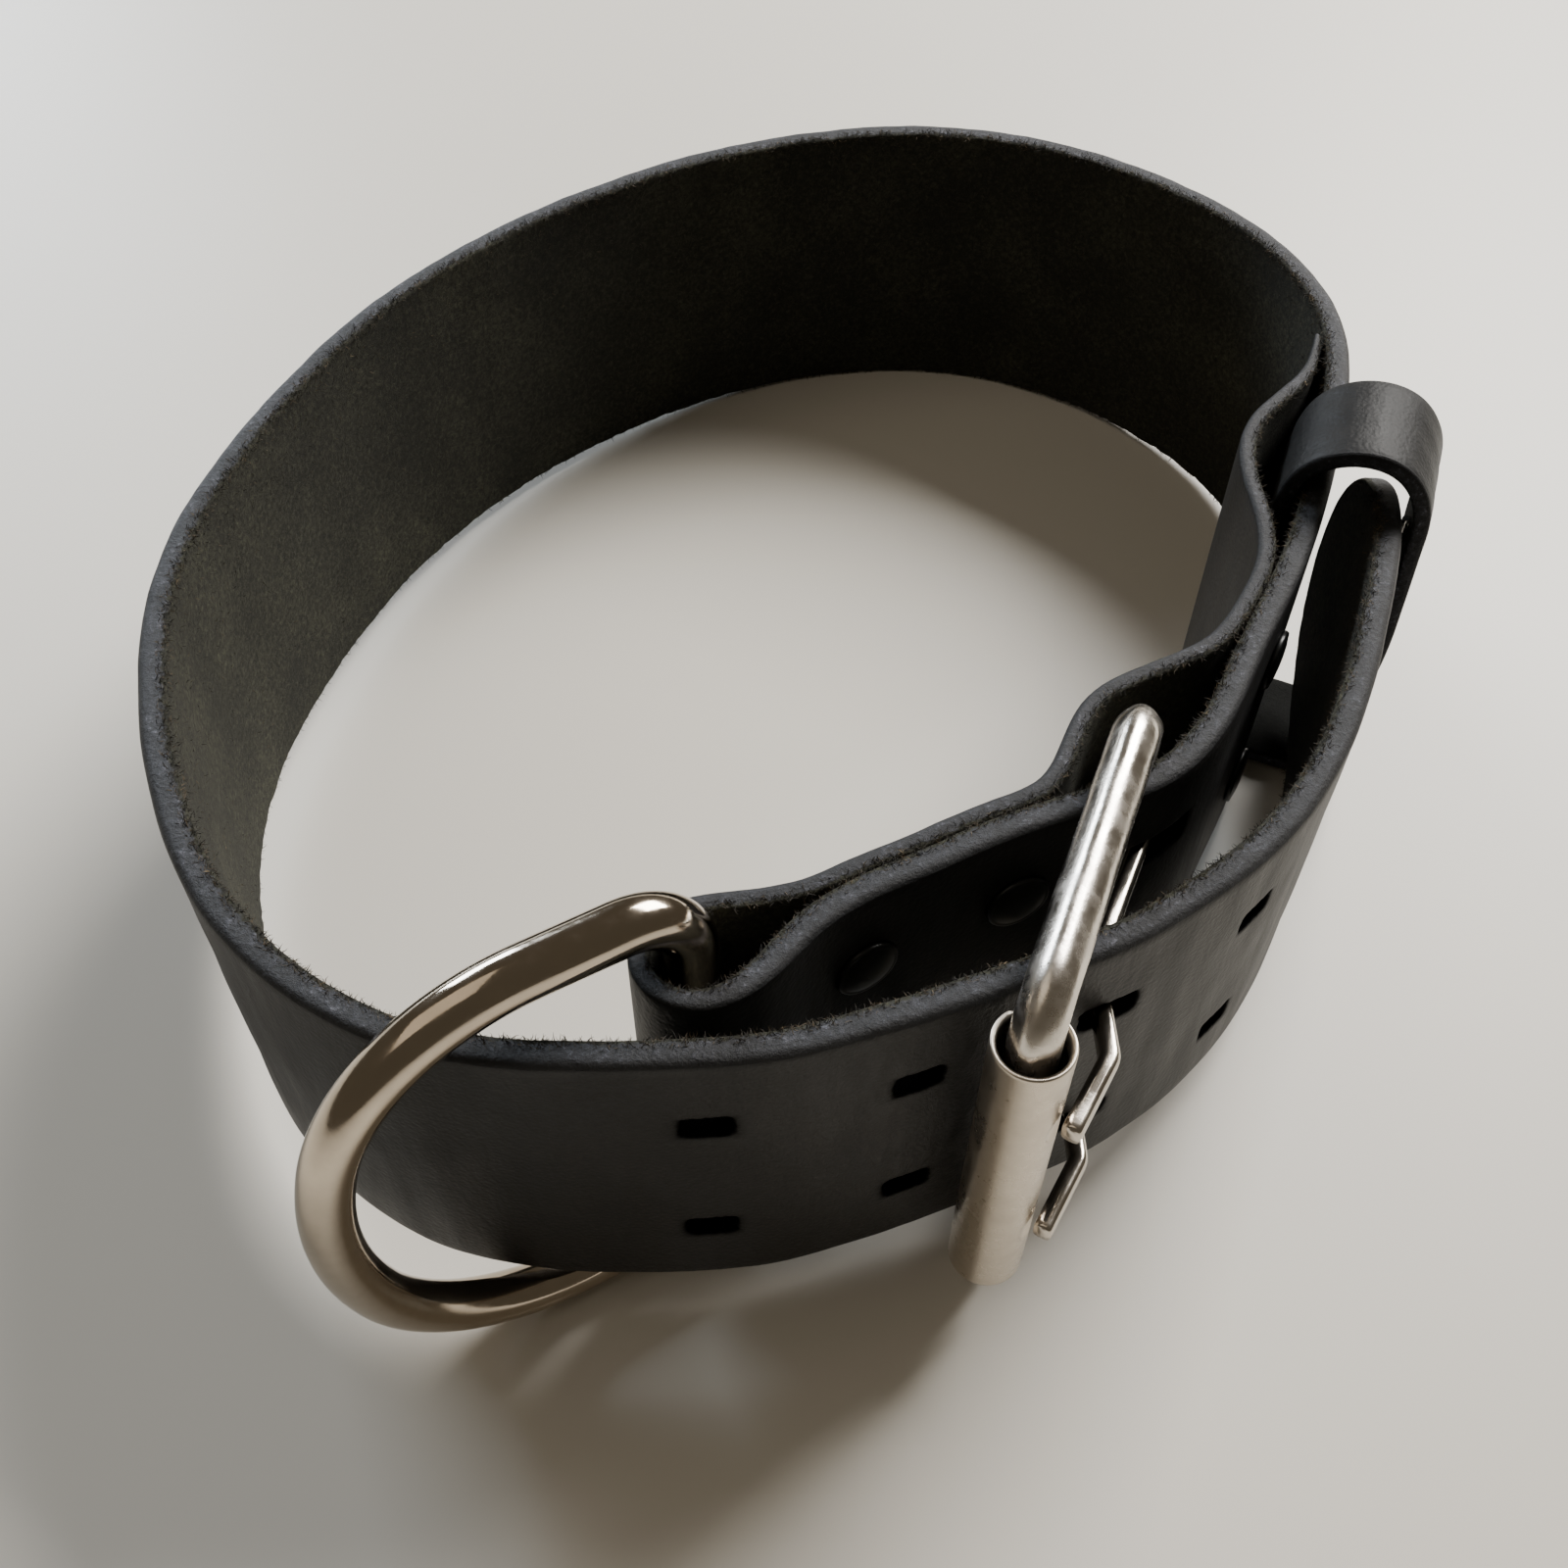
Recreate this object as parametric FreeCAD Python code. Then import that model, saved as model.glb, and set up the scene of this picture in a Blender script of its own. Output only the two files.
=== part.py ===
import FreeCAD, Part
import math
import os

from FreeCAD import Placement, Rotation, Vector

# Wide leather dog collar, buckled, standing on its lower edge.  Millimetres.
# The parts are drawn upright (strap edges at z 0 and z STRAP_WIDTH) around the middle of
# the neck opening, then the whole collar is set down on the floor by one last placement.

# Strap
STRAP_WIDTH = 50.0
STRAP_THICK = 3.6          # full leather
LINING_THICK = 2.4         # the turned-back end, skived thinner
END_THICK = 0.8            # feathered tip of the turned-back end
FEATHER_LENGTH = 15.0
TIP_CORNER = 24.5          # the tongue's end is very nearly a half circle

# Adjustment holes, two rows
HOLE_PAIRS = 5
HOLE_PITCH = 23.5
FIRST_HOLE_FROM_TIP = 63.5
HOLE_LENGTH = 6.0
USED_HOLE_LENGTH = 7.8     # the pair in use has stretched
HOLE_HEIGHT = 4.0
ROW_OFFSET = 12.0          # rows lie this far above and below the middle of the strap
PRONG_HOLE = 2             # which pair the prongs stand in, counted from the tip

# D-ring
RING_WIRE = 6.2
RING_INSIDE_HEIGHT = 57.2
RING_REACH = 45.2          # from the straight bar to the middle of the bow's wire
RING_ARM = 18.3            # straight arm before the shoulder starts
RING_SHOULDER = 26.0       # radius of the two shoulders; one wider arc joins them
RING_CORNER = 7.9
RING_PIN = (-10.8, -81.8)  # where its straight bar stands
RING_HEADING = 210.6
RING_LEAN = 2.4            # the bar leans this much in its loose fold
RING_MIDDLE_Z = 25.9
FOLD_BORE = 4.6            # inside radius of the fold round the bar

# Buckle
FRAME_WIRE = 5.8
FRAME_INSIDE_HEIGHT = 53.1
HEEL_CORNER = 5.0
FRONT_CORNER = 6.5
HEEL = (40.6, -50.4)       # heel bar, between the two leather layers
FRONT_BAR = (24.4, -92.8)  # front bar, outside the tongue
ROLLER_OUTSIDE = 4.6
ROLLER_WALL = 0.7
ROLLER_LENGTH = 50.0
DIMPLE_DEPTH = 0.45

# Prongs
PRONG_THICK = 2.4
PRONG_HEIGHT = 3.0
EYE_BORE = 2.95
EYE_OUTSIDE = 4.9
PRONG_BEND = (34.9, -87.0)
PRONG_TIP = (29.6, -96.3)

# Rivets: cap on the outer face, peened cap on the neck side
CAP_RADIUS = 4.2
CAP_HEIGHT = 1.5
BACK_CAP_RADIUS = 3.6
BACK_CAP_HEIGHT = 1.0
POST_RADIUS = 1.6
SEAT_GAP = 0.1             # caps sit this far off the leather
LAYER_GAP = 0.15           # hairline between outer layer and lining

# Keeper
KEEPER_WIDTH = 18.0
KEEPER_THICK = 2.4
KEEPER_MIDDLE = (74.3, 3.0)
KEEPER_HEADING = 70.5

# Staple closing the keeper's lapped ends
STAPLE_RADIUS = 0.6
STAPLE_LEG_RADIUS = 0.5
STAPLE_LEG_LENGTH = 2.8
STAPLE_Y = -3.5
STAPLE_FACE = 13.45
STAPLE_HEIGHTS = (40.0, 45.0)

# How the collar rests: rear edge of the strap, D-ring and buckle all touch the floor
REST_EDGE_Y = 97.0
REST_TILT = 2.77
ORIGIN_SHIFT = (-4.44, 3.57)

# The strap's centre line seen from above, from the tongue's tip round to the feathered end
TONGUE_RUN = [
    (84.6, 14.6), (83.4, 5.8), (81.8, -3.2), (80.0, -11.5), (76.2, -23.2),
    (66.3, -47.2), (52.3, -66.6), (34.6, -79.2), (18.5, -86.2), (-1.5, -93.0),
    (-20.9, -94.7), (-40.7, -92.3),
]
BACK_RUN = [
    (-60.1, -80.0), (-76.6, -51.2), (-82.6, -20.0), (-79.0, 3.8), (-62.6, 42.9),
    (-34.8, 73.2), (-2.2, 91.4), (31.8, 94.4), (63.3, 77.7), (80.6, 51.5),
    (82.6, 36.4), (79.2, 18.2), (72.6, -1.6),
]
OUTER_LAYER_RUN = [
    (65.2, -19.2), (56.8, -35.4), (48.2, -50.6), (42.3, -56.1), (35.6, -59.4),
    (24.5, -63.9), (13.5, -69.8), (5.2, -74.6), (0.2, -79.3), (-3.6, -84.0),
]
LINING_RUN = [
    (-4.6, -74.4), (1.0, -72.9), (6.6, -69.9), (12.0, -67.1), (22.9, -61.2),
    (28.9, -57.8), (32.5, -51.6), (36.6, -43.9), (42.8, -39.4), (53.2, -33.0),
    (58.2, -25.9), (62.2, -17.4), (63.4, -9.0), (63.2, -1.5), (64.0, 6.0),
    (66.8, 12.6), (71.4, 18.2), (76.2, 24.2), (79.6, 33.4),
]


def fold_run():
    """The half turn round the D-ring's bar, joining the outer layer to the lining."""
    radius = FOLD_BORE + 0.5 * LINING_THICK + 0.3
    turn = []
    for angle in (285.0, 255.0, 225.0, 195.0, 165.0, 135.0, 105.0):
        a = math.radians(angle)
        turn.append((RING_PIN[0] + radius * math.cos(a), RING_PIN[1] + radius * math.sin(a)))
    return turn


def strap_centre_line():
    run = TONGUE_RUN + BACK_RUN + OUTER_LAYER_RUN + fold_run() + LINING_RUN
    line = Part.BSplineCurve()
    line.interpolate([Vector(x, y, 0) for x, y in run])
    return line


def point_and_normal(line, length_from_tip):
    """Point on the centre line, and the direction pointing out of the collar's outer face."""
    t = line.parameterAtDistance(length_from_tip)
    along = line.tangent(t)[0]
    return line.value(t), Vector(-along.y, along.x, 0)


def fold_start(line):
    """Length of strap from the tip to where the fold begins."""
    t = line.parameter(Vector(OUTER_LAYER_RUN[-1][0], OUTER_LAYER_RUN[-1][1], 0))
    return line.length(line.FirstParameter, t)


def thickness_at(s, total, fold):
    """Full leather up to the fold, thinned round it, feathered at the very end."""
    thin_over = 18.0
    thin = min(1.0, max(0.0, (s - fold + 4.0) / thin_over))
    thick = STRAP_THICK + (LINING_THICK - STRAP_THICK) * thin
    left = total - s
    if left < FEATHER_LENGTH:
        thick = END_THICK + (LINING_THICK - END_THICK) * left / FEATHER_LENGTH
    return thick


def spline_edge(points):
    curve = Part.BSplineCurve()
    curve.interpolate(points)
    return curve.toShape()


def strap_body(line):
    """The strap as one extruded strip, before any hole is punched."""
    total = line.length(line.FirstParameter, line.LastParameter)
    fold = fold_start(line)
    outside = []
    inside = []
    s = 0.0
    while s < total:
        point, normal = point_and_normal(line, s)
        half = 0.5 * thickness_at(s, total, fold)
        outside.append(point + normal * half)
        inside.append(point - normal * half)
        near_fold = abs(s - fold - 14.0) < 26.0
        s += 1.6 if near_fold else 4.0
    point, normal = point_and_normal(line, total - 0.001)
    outside.append(point + normal * (0.5 * END_THICK))
    inside.append(point - normal * (0.5 * END_THICK))
    edges = [
        spline_edge(outside),
        Part.makeLine(outside[-1], inside[-1]),
        spline_edge(inside[::-1]),
        Part.makeLine(inside[0], outside[0]),
    ]
    outline = Part.Wire(Part.sortEdges(edges)[0])
    return Part.Face(outline).extrude(Vector(0, 0, STRAP_WIDTH))


def facing_place(line, s, z):
    """Local frame on the strap: x along it, y out of its outer face, z up."""
    point, normal = point_and_normal(line, s)
    along = Vector(normal.y, -normal.x, 0)
    turn = Rotation(along, normal, Vector(0, 0, 1), "XYZ")
    return Placement(Vector(point.x, point.y, z), turn)


def oblong_cutter(length, height, depth):
    """A slot with round ends, running through along y."""
    r = 0.5 * height
    half = 0.5 * length - r
    body = Part.makeBox(2 * half, depth, height, Vector(-half, -0.5 * depth, -r))
    for x in (-half, half):
        end = Part.makeCylinder(r, depth, Vector(x, -0.5 * depth, 0), Vector(0, 1, 0))
        body = body.fuse(end)
    return body.removeSplitter()


def row_heights():
    middle = 0.5 * STRAP_WIDTH
    return (middle + ROW_OFFSET, middle - ROW_OFFSET)


def hole_cutters(line):
    cutters = []
    for pair in range(HOLE_PAIRS):
        s = FIRST_HOLE_FROM_TIP + HOLE_PITCH * pair
        for z in row_heights():
            length = USED_HOLE_LENGTH if pair == PRONG_HOLE else HOLE_LENGTH
            cutter = oblong_cutter(length, HOLE_HEIGHT, 8.0)
            cutter.Placement = facing_place(line, s, z)
            cutters.append(cutter)
    return cutters


def prong_slot_cutters():
    """Slots in the outer layer that let the prongs swing on the heel bar."""
    cutters = []
    for z in row_heights():
        low = z - 0.5 * PRONG_HEIGHT - 1.0
        slot = Part.makeBox(18.0, 12.0, PRONG_HEIGHT + 2.0, Vector(-12.0, -12.0, low))
        slot.Placement = Placement(Vector(HEEL[0], HEEL[1], 0), Rotation(Vector(0, 0, 1), 34.0))
        room = Part.makeCylinder(EYE_OUTSIDE + 0.5, PRONG_HEIGHT + 2.0,
                                 Vector(HEEL[0], HEEL[1], low))
        cutters.append(slot.fuse(room))
    return cutters


def tip_cutters(line):
    """What is trimmed off to round the two corners of the tongue."""
    r = TIP_CORNER
    cutters = []
    for z, up in ((STRAP_WIDTH, 1.0), (0.0, -1.0)):
        block = Part.makeBox(r, 16.0, r, Vector(-r - 0.5, -8.0, -r if up > 0 else 0.0))
        round_off = Part.makeCylinder(r, 16.0, Vector(0.0 - 0.5, -8.0, -up * r), Vector(0, 1, 0))
        cutter = block.cut(round_off)
        cutter.translate(Vector(r, 0, 0))
        cutter.Placement = facing_place(line, 0.0, z).multiply(cutter.Placement)
        cutters.append(cutter)
    return cutters


def rivet_sites(line):
    """Name, length from the tip and height of every rivet."""
    sites = []
    for name, spot in (("ring", (7.2, -73.5)), ("buckle", (25.6, -63.3)), ("keeper", (63.2, -23.1))):
        t = line.parameter(Vector(spot[0], spot[1], 0))
        s = line.length(line.FirstParameter, t)
        for row, z in zip(("upper", "lower"), row_heights()):
            sites.append((name + "_" + row, s, z))
    return sites


def rivet_stack():
    """Where the leather starts and stops along a rivet, measured out of the outer face."""
    front = 0.5 * STRAP_THICK
    back = -(0.5 * STRAP_THICK + LAYER_GAP + LINING_THICK)
    return front, back


def make_strap(line):
    strap = strap_body(line)
    for cutter in hole_cutters(line) + prong_slot_cutters() + tip_cutters(line):
        strap = strap.cut(cutter)
    for _, s, z in rivet_sites(line):
        bore = Part.makeCylinder(POST_RADIUS, 14.0, Vector(0, -9.5, 0), Vector(0, 1, 0))
        bore.Placement = facing_place(line, s, z)
        strap = strap.cut(bore)
    return strap


def dome(radius, height):
    """Shallow cap of a ball, flat side on z 0."""
    ball = (radius * radius + height * height) / (2.0 * height)
    cap = Part.makeSphere(ball, Vector(0, 0, height - ball))
    return cap.common(Part.makeCylinder(radius, height))


def make_rivet(line, s, z):
    """Domed cap and post, as one turned piece."""
    front, back = rivet_stack()
    head = dome(CAP_RADIUS, CAP_HEIGHT)
    head.rotate(Vector(0, 0, 0), Vector(1, 0, 0), -90)
    head.translate(Vector(0, front + SEAT_GAP, 0))
    post_end = back - SEAT_GAP - 0.2
    post = Part.makeCylinder(POST_RADIUS, front + 0.6 - post_end, Vector(0, post_end, 0),
                             Vector(0, 1, 0))
    rivet = head.fuse(post).removeSplitter()
    rivet.Placement = facing_place(line, s, z)
    return rivet


def make_rivet_back(line, s, z):
    """Closing cap on the neck side."""
    back = rivet_stack()[1]
    cap = dome(BACK_CAP_RADIUS, BACK_CAP_HEIGHT)
    cap.rotate(Vector(0, 0, 0), Vector(1, 0, 0), 90)
    cap.translate(Vector(0, back - SEAT_GAP, 0))
    socket = Part.makeCylinder(POST_RADIUS, 0.3, Vector(0, back - SEAT_GAP - 0.25, 0),
                               Vector(0, 1, 0))
    cap = cap.cut(socket)
    cap.Placement = facing_place(line, s, z)
    return cap


def sweep_round(path_edges, radius):
    """Round wire bent along a closed path lying in the x-z plane, starting at the origin."""
    path = Part.Wire(path_edges)
    profile = Part.Wire(Part.makeCircle(radius, Vector(0, 0, 0), Vector(0, 0, 1)))
    return path.makePipeShell([profile], True, True)


def quarter(centre, radius, first, last):
    """Arc in the x-z plane between two angles, in degrees."""
    def spot(angle):
        a = math.radians(angle)
        return centre + Vector(radius * math.cos(a), 0, radius * math.sin(a))
    return Part.Arc(spot(first), spot(0.5 * (first + last)), spot(last)).toShape()


def make_d_ring():
    """Straight bar, two arms, and a three-centred bow."""
    half = 0.5 * (RING_INSIDE_HEIGHT + RING_WIRE)
    r = RING_CORNER
    shoulder = RING_SHOULDER
    rise = half - shoulder
    span = RING_REACH - shoulder
    middle = (span * span - RING_ARM * RING_ARM - rise * rise) / (2.0 * (span - RING_ARM))
    bow = RING_REACH - middle
    meet = math.degrees(math.atan2(rise, RING_ARM - middle))
    edges = [
        Part.makeLine(Vector(0, 0, 0), Vector(0, 0, half - r)),
        quarter(Vector(r, 0, half - r), r, 180, 90),
        Part.makeLine(Vector(r, 0, half), Vector(RING_ARM, 0, half)),
        quarter(Vector(RING_ARM, 0, rise), shoulder, 90, meet),
        quarter(Vector(middle, 0, 0), bow, meet, -meet),
        quarter(Vector(RING_ARM, 0, -rise), shoulder, -meet, -90),
        Part.makeLine(Vector(RING_ARM, 0, -half), Vector(r, 0, -half)),
        quarter(Vector(r, 0, -half + r), r, -90, -180),
        Part.makeLine(Vector(0, 0, -half + r), Vector(0, 0, 0)),
    ]
    ring = sweep_round(edges, 0.5 * RING_WIRE)
    lean = Rotation(Vector(1, 0, 0), RING_LEAN)
    turn = Rotation(Vector(0, 0, 1), RING_HEADING).multiply(lean)
    ring.Placement = Placement(Vector(RING_PIN[0], RING_PIN[1], RING_MIDDLE_Z), turn)
    return ring


def frame_reach():
    return math.hypot(FRONT_BAR[0] - HEEL[0], FRONT_BAR[1] - HEEL[1])


def frame_place():
    heading = math.degrees(math.atan2(FRONT_BAR[1] - HEEL[1], FRONT_BAR[0] - HEEL[0]))
    return Placement(Vector(HEEL[0], HEEL[1], 0.5 * STRAP_WIDTH),
                     Rotation(Vector(0, 0, 1), heading))


def make_buckle_frame():
    half = 0.5 * (FRAME_INSIDE_HEIGHT + FRAME_WIRE)
    reach = frame_reach()
    h = HEEL_CORNER
    f = FRONT_CORNER
    edges = [
        Part.makeLine(Vector(0, 0, 0), Vector(0, 0, half - h)),
        quarter(Vector(h, 0, half - h), h, 180, 90),
        Part.makeLine(Vector(h, 0, half), Vector(reach - f, 0, half)),
        quarter(Vector(reach - f, 0, half - f), f, 90, 0),
        Part.makeLine(Vector(reach, 0, half - f), Vector(reach, 0, -half + f)),
        quarter(Vector(reach - f, 0, -half + f), f, 0, -90),
        Part.makeLine(Vector(reach - f, 0, -half), Vector(h, 0, -half)),
        quarter(Vector(h, 0, -half + h), h, -90, -180),
        Part.makeLine(Vector(0, 0, -half + h), Vector(0, 0, 0)),
    ]
    frame = sweep_round(edges, 0.5 * FRAME_WIRE)
    frame.Placement = frame_place()
    return frame


def make_roller():
    """Rolled tube, open at both ends, with a shallow dimple where each prong rests."""
    low = 0.5 * (STRAP_WIDTH - ROLLER_LENGTH)
    base = Vector(FRONT_BAR[0], FRONT_BAR[1], low)
    tube = Part.makeCylinder(ROLLER_OUTSIDE, ROLLER_LENGTH, base)
    tube = tube.cut(Part.makeCylinder(ROLLER_OUTSIDE - ROLLER_WALL, ROLLER_LENGTH, base))
    toward = Vector(PRONG_TIP[0] - FRONT_BAR[0], PRONG_TIP[1] - FRONT_BAR[1], 0).normalize()
    scoop = 5.0
    for z in row_heights():
        centre = Vector(FRONT_BAR[0], FRONT_BAR[1], z)
        centre = centre + toward * (ROLLER_OUTSIDE + scoop - DIMPLE_DEPTH)
        tube = tube.cut(Part.makeSphere(scoop, centre))
    return tube


def link(start, end, z):
    """One straight stretch of prong with a round joint at its start."""
    way = end - start
    low = z - 0.5 * PRONG_HEIGHT
    half = 0.5 * PRONG_THICK
    bar = Part.makeBox(way.Length, PRONG_THICK, PRONG_HEIGHT, Vector(0, -half, 0))
    bar.Placement = Placement(Vector(start.x, start.y, low),
                              Rotation(Vector(1, 0, 0), Vector(way.x, way.y, 0)))
    joint = Part.makeCylinder(half, PRONG_HEIGHT, Vector(start.x, start.y, low))
    return bar.fuse(joint)


def make_prong(line, z):
    """Eye on the heel bar, shank through both leathers, then bent back onto the roller."""
    hole = point_and_normal(line, FIRST_HOLE_FROM_TIP + HOLE_PITCH * PRONG_HOLE)[0]
    heel = Vector(HEEL[0], HEEL[1], 0)
    bend = Vector(PRONG_BEND[0], PRONG_BEND[1], 0)
    tip = Vector(PRONG_TIP[0], PRONG_TIP[1], 0)
    through = (bend - hole).normalize()
    inner = hole - through * 4.5
    root = heel + (inner - heel).normalize() * (EYE_OUTSIDE - 1.0)
    low = z - 0.5 * PRONG_HEIGHT
    prong = Part.makeCylinder(EYE_OUTSIDE, PRONG_HEIGHT, Vector(heel.x, heel.y, low))
    for start, end in ((root, inner), (inner, bend), (bend, tip)):
        prong = prong.fuse(link(start, end, z))
    bore = Part.makeCylinder(EYE_BORE, PRONG_HEIGHT, Vector(heel.x, heel.y, low))
    return prong.cut(bore).removeSplitter()


def keeper_profile():
    """Centre line of the keeper's loop: x out from the strap, z up."""
    return [
        (-4.1, 25.0), (-4.1, 38.0), (-4.1, 47.0), (-2.6, 52.8), (3.2, 57.0), (9.4, 56.4),
        (13.6, 51.4), (14.6, 44.0), (15.4, 27.0), (15.3, 9.0), (15.2, 1.2), (12.0, -2.3),
        (2.2, -2.6), (-2.8, -2.1), (-4.4, 2.6), (-4.2, 12.0),
    ]


def closed_offset(curve, offset):
    """Closed loop running beside another one."""
    first = curve.FirstParameter
    last = curve.LastParameter
    steps = 72
    points = []
    for i in range(steps):
        t = first + (last - first) * i / steps
        along = curve.tangent(t)[0]
        points.append(curve.value(t) + Vector(-along.z, 0, along.x) * offset)
    loop = Part.BSplineCurve()
    loop.interpolate(Points=points, PeriodicFlag=True)
    return Part.Wire([loop.toShape()])


def keeper_place():
    return Placement(Vector(KEEPER_MIDDLE[0], KEEPER_MIDDLE[1], 0),
                     Rotation(Vector(0, 0, 1), KEEPER_HEADING - 90.0))


def make_keeper():
    curve = Part.BSplineCurve()
    curve.interpolate(Points=[Vector(x, 0, z) for x, z in keeper_profile()], PeriodicFlag=True)
    half = 0.5 * KEEPER_THICK
    loops = [closed_offset(curve, half), closed_offset(curve, -half)]
    loops.sort(key=lambda w: w.BoundBox.ZLength, reverse=True)
    width = Vector(0, KEEPER_WIDTH, 0)
    outer = Part.Face(loops[0]).extrude(width)
    inner = Part.Face(loops[1]).extrude(width)
    keeper = outer.cut(inner)
    keeper.translate(Vector(0, -0.5 * KEEPER_WIDTH, 0))
    for z in STAPLE_HEIGHTS:
        keeper = keeper.cut(staple_leg(z))
    keeper.Placement = keeper_place().multiply(keeper.Placement)
    return keeper


def staple_leg(z):
    """One leg of the staple, driven through the keeper's outer wall."""
    return Part.makeCylinder(STAPLE_LEG_RADIUS, STAPLE_LEG_LENGTH,
                             Vector(STAPLE_FACE - 0.3, STAPLE_Y, z), Vector(1, 0, 0))


def make_staple():
    """Wire staple closing the keeper's lapped ends, crown on the inside."""
    low, high = STAPLE_HEIGHTS
    crown = Part.makeCylinder(STAPLE_RADIUS, high - low + 2 * STAPLE_RADIUS,
                              Vector(STAPLE_FACE - STAPLE_RADIUS, STAPLE_Y, low - STAPLE_RADIUS))
    staple = crown.fuse(staple_leg(low)).fuse(staple_leg(high)).removeSplitter()
    staple.Placement = keeper_place()
    return staple


def set_down(shape):
    """Tilt the collar onto its three resting points and centre it over the origin."""
    shape = shape.copy()
    tilt = Rotation(Vector(1, 0, 0), -REST_TILT)
    pivot = Vector(0, REST_EDGE_Y, 0)
    shift = Vector(ORIGIN_SHIFT[0], ORIGIN_SHIFT[1], 0)
    rest = Placement(pivot + shift, tilt).multiply(Placement(pivot * -1.0, Rotation()))
    shape.Placement = rest.multiply(shape.Placement)
    return shape


def main():
    os.makedirs("parts", exist_ok=True)
    line = strap_centre_line()
    upper, lower = row_heights()
    parts = {
        "main_strap": make_strap(line),
        "keeper_loop": make_keeper(),
        "keeper_staple": make_staple(),
        "d_ring": make_d_ring(),
        "buckle_frame": make_buckle_frame(),
        "buckle_roller": make_roller(),
        "prong_upper": make_prong(line, upper),
        "prong_lower": make_prong(line, lower),
    }
    for name, s, z in rivet_sites(line):
        parts["rivet_" + name] = make_rivet(line, s, z)
        parts["rivet_back_" + name] = make_rivet_back(line, s, z)
    for name, shape in parts.items():
        set_down(shape).exportStep("parts/" + name + ".step")


main()
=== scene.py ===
import math
import random

import bmesh
import bpy
import numpy as np
from mathutils import Matrix, Vector


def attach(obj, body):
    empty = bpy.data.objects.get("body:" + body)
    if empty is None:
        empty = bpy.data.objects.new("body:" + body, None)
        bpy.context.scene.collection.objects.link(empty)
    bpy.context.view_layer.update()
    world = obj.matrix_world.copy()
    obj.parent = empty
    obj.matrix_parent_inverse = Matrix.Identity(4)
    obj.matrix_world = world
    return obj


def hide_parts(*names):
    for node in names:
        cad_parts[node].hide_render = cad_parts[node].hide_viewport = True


# A wide leather dog collar, buckled, standing on its lower edge on a pale table top.
# Shapes are worked out in millimetres as the collar is drawn: strap edges at z 0 and z 50,
# the middle of the neck opening at x 0, y 0.  set_down() then tilts it onto its resting
# points and turns it into metres in the frame.

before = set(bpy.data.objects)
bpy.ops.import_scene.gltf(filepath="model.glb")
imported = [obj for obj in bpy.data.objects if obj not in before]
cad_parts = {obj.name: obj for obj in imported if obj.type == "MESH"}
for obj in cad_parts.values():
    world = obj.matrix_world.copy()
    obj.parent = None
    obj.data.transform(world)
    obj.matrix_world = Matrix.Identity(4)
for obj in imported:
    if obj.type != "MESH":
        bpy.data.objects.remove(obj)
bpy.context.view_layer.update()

MM = 0.001

# ---- Sizes, in millimetres -------------------------------------------------------------

STRAP_WIDTH = 50.0
STRAP_THICK = 3.6
LINING_THICK = 2.4
END_THICK = 0.8
FEATHER_LENGTH = 15.0
SKIVE_BEFORE_FOLD = 4.0    # the leather starts to thin this far before the fold
SKIVE_LENGTH = 18.0
TIP_CORNER = 24.5

HOLE_PAIRS = 5
HOLE_PITCH = 23.5
FIRST_HOLE = 63.5
HOLE_LENGTH = 6.0
USED_HOLE_LENGTH = 7.8
HOLE_HEIGHT = 4.0
USED_PAIR = 2
ROWS = (37.0, 13.0)

RING_WIRE = 6.2
RING_INSIDE_HEIGHT = 57.2
RING_REACH = 45.2
RING_ARM = 18.3
RING_SHOULDER = 26.0
RING_CORNER = 7.9
RING_PIN = (-10.8, -81.8)
RING_HEADING = 210.6
RING_LEAN = 2.4
RING_MIDDLE_Z = 25.9
FOLD_BORE = 4.6
FOLD_EASE = 0.3
FOLD_FROM = 285.0          # the fold's turn round the bar, in degrees of the plan
FOLD_TO = 105.0

FRAME_WIRE = 5.8
FRAME_INSIDE_HEIGHT = 53.1
HEEL_CORNER = 5.0
FRONT_CORNER = 6.5
HEEL = (40.6, -50.4)
FRONT_BAR = (24.4, -92.8)
ROLLER_OUTSIDE = 4.6
ROLLER_WALL = 0.7
ROLLER_LENGTH = 50.0

PRONG_THICK = 2.4
PRONG_HEIGHT = 3.0
EYE_BORE = 2.95
EYE_OUTSIDE = 4.9
PRONG_BEND = (34.9, -87.0)
PRONG_TIP = (29.6, -96.3)

CAP_RADIUS = 4.2
CAP_HEIGHT = 1.5
BACK_CAP_RADIUS = 3.6
BACK_CAP_HEIGHT = 1.0
LAYER_GAP = 0.15

KEEPER_WIDTH = 18.0
KEEPER_THICK = 2.4
KEEPER_MIDDLE = (74.3, 3.0)
KEEPER_HEADING = 70.5
KEEPER_EDGE = 0.8          # width rounded off along each edge

REST_EDGE_Y = 97.0
REST_TILT = 2.77
ORIGIN_SHIFT = (-4.44, 3.57)

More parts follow.
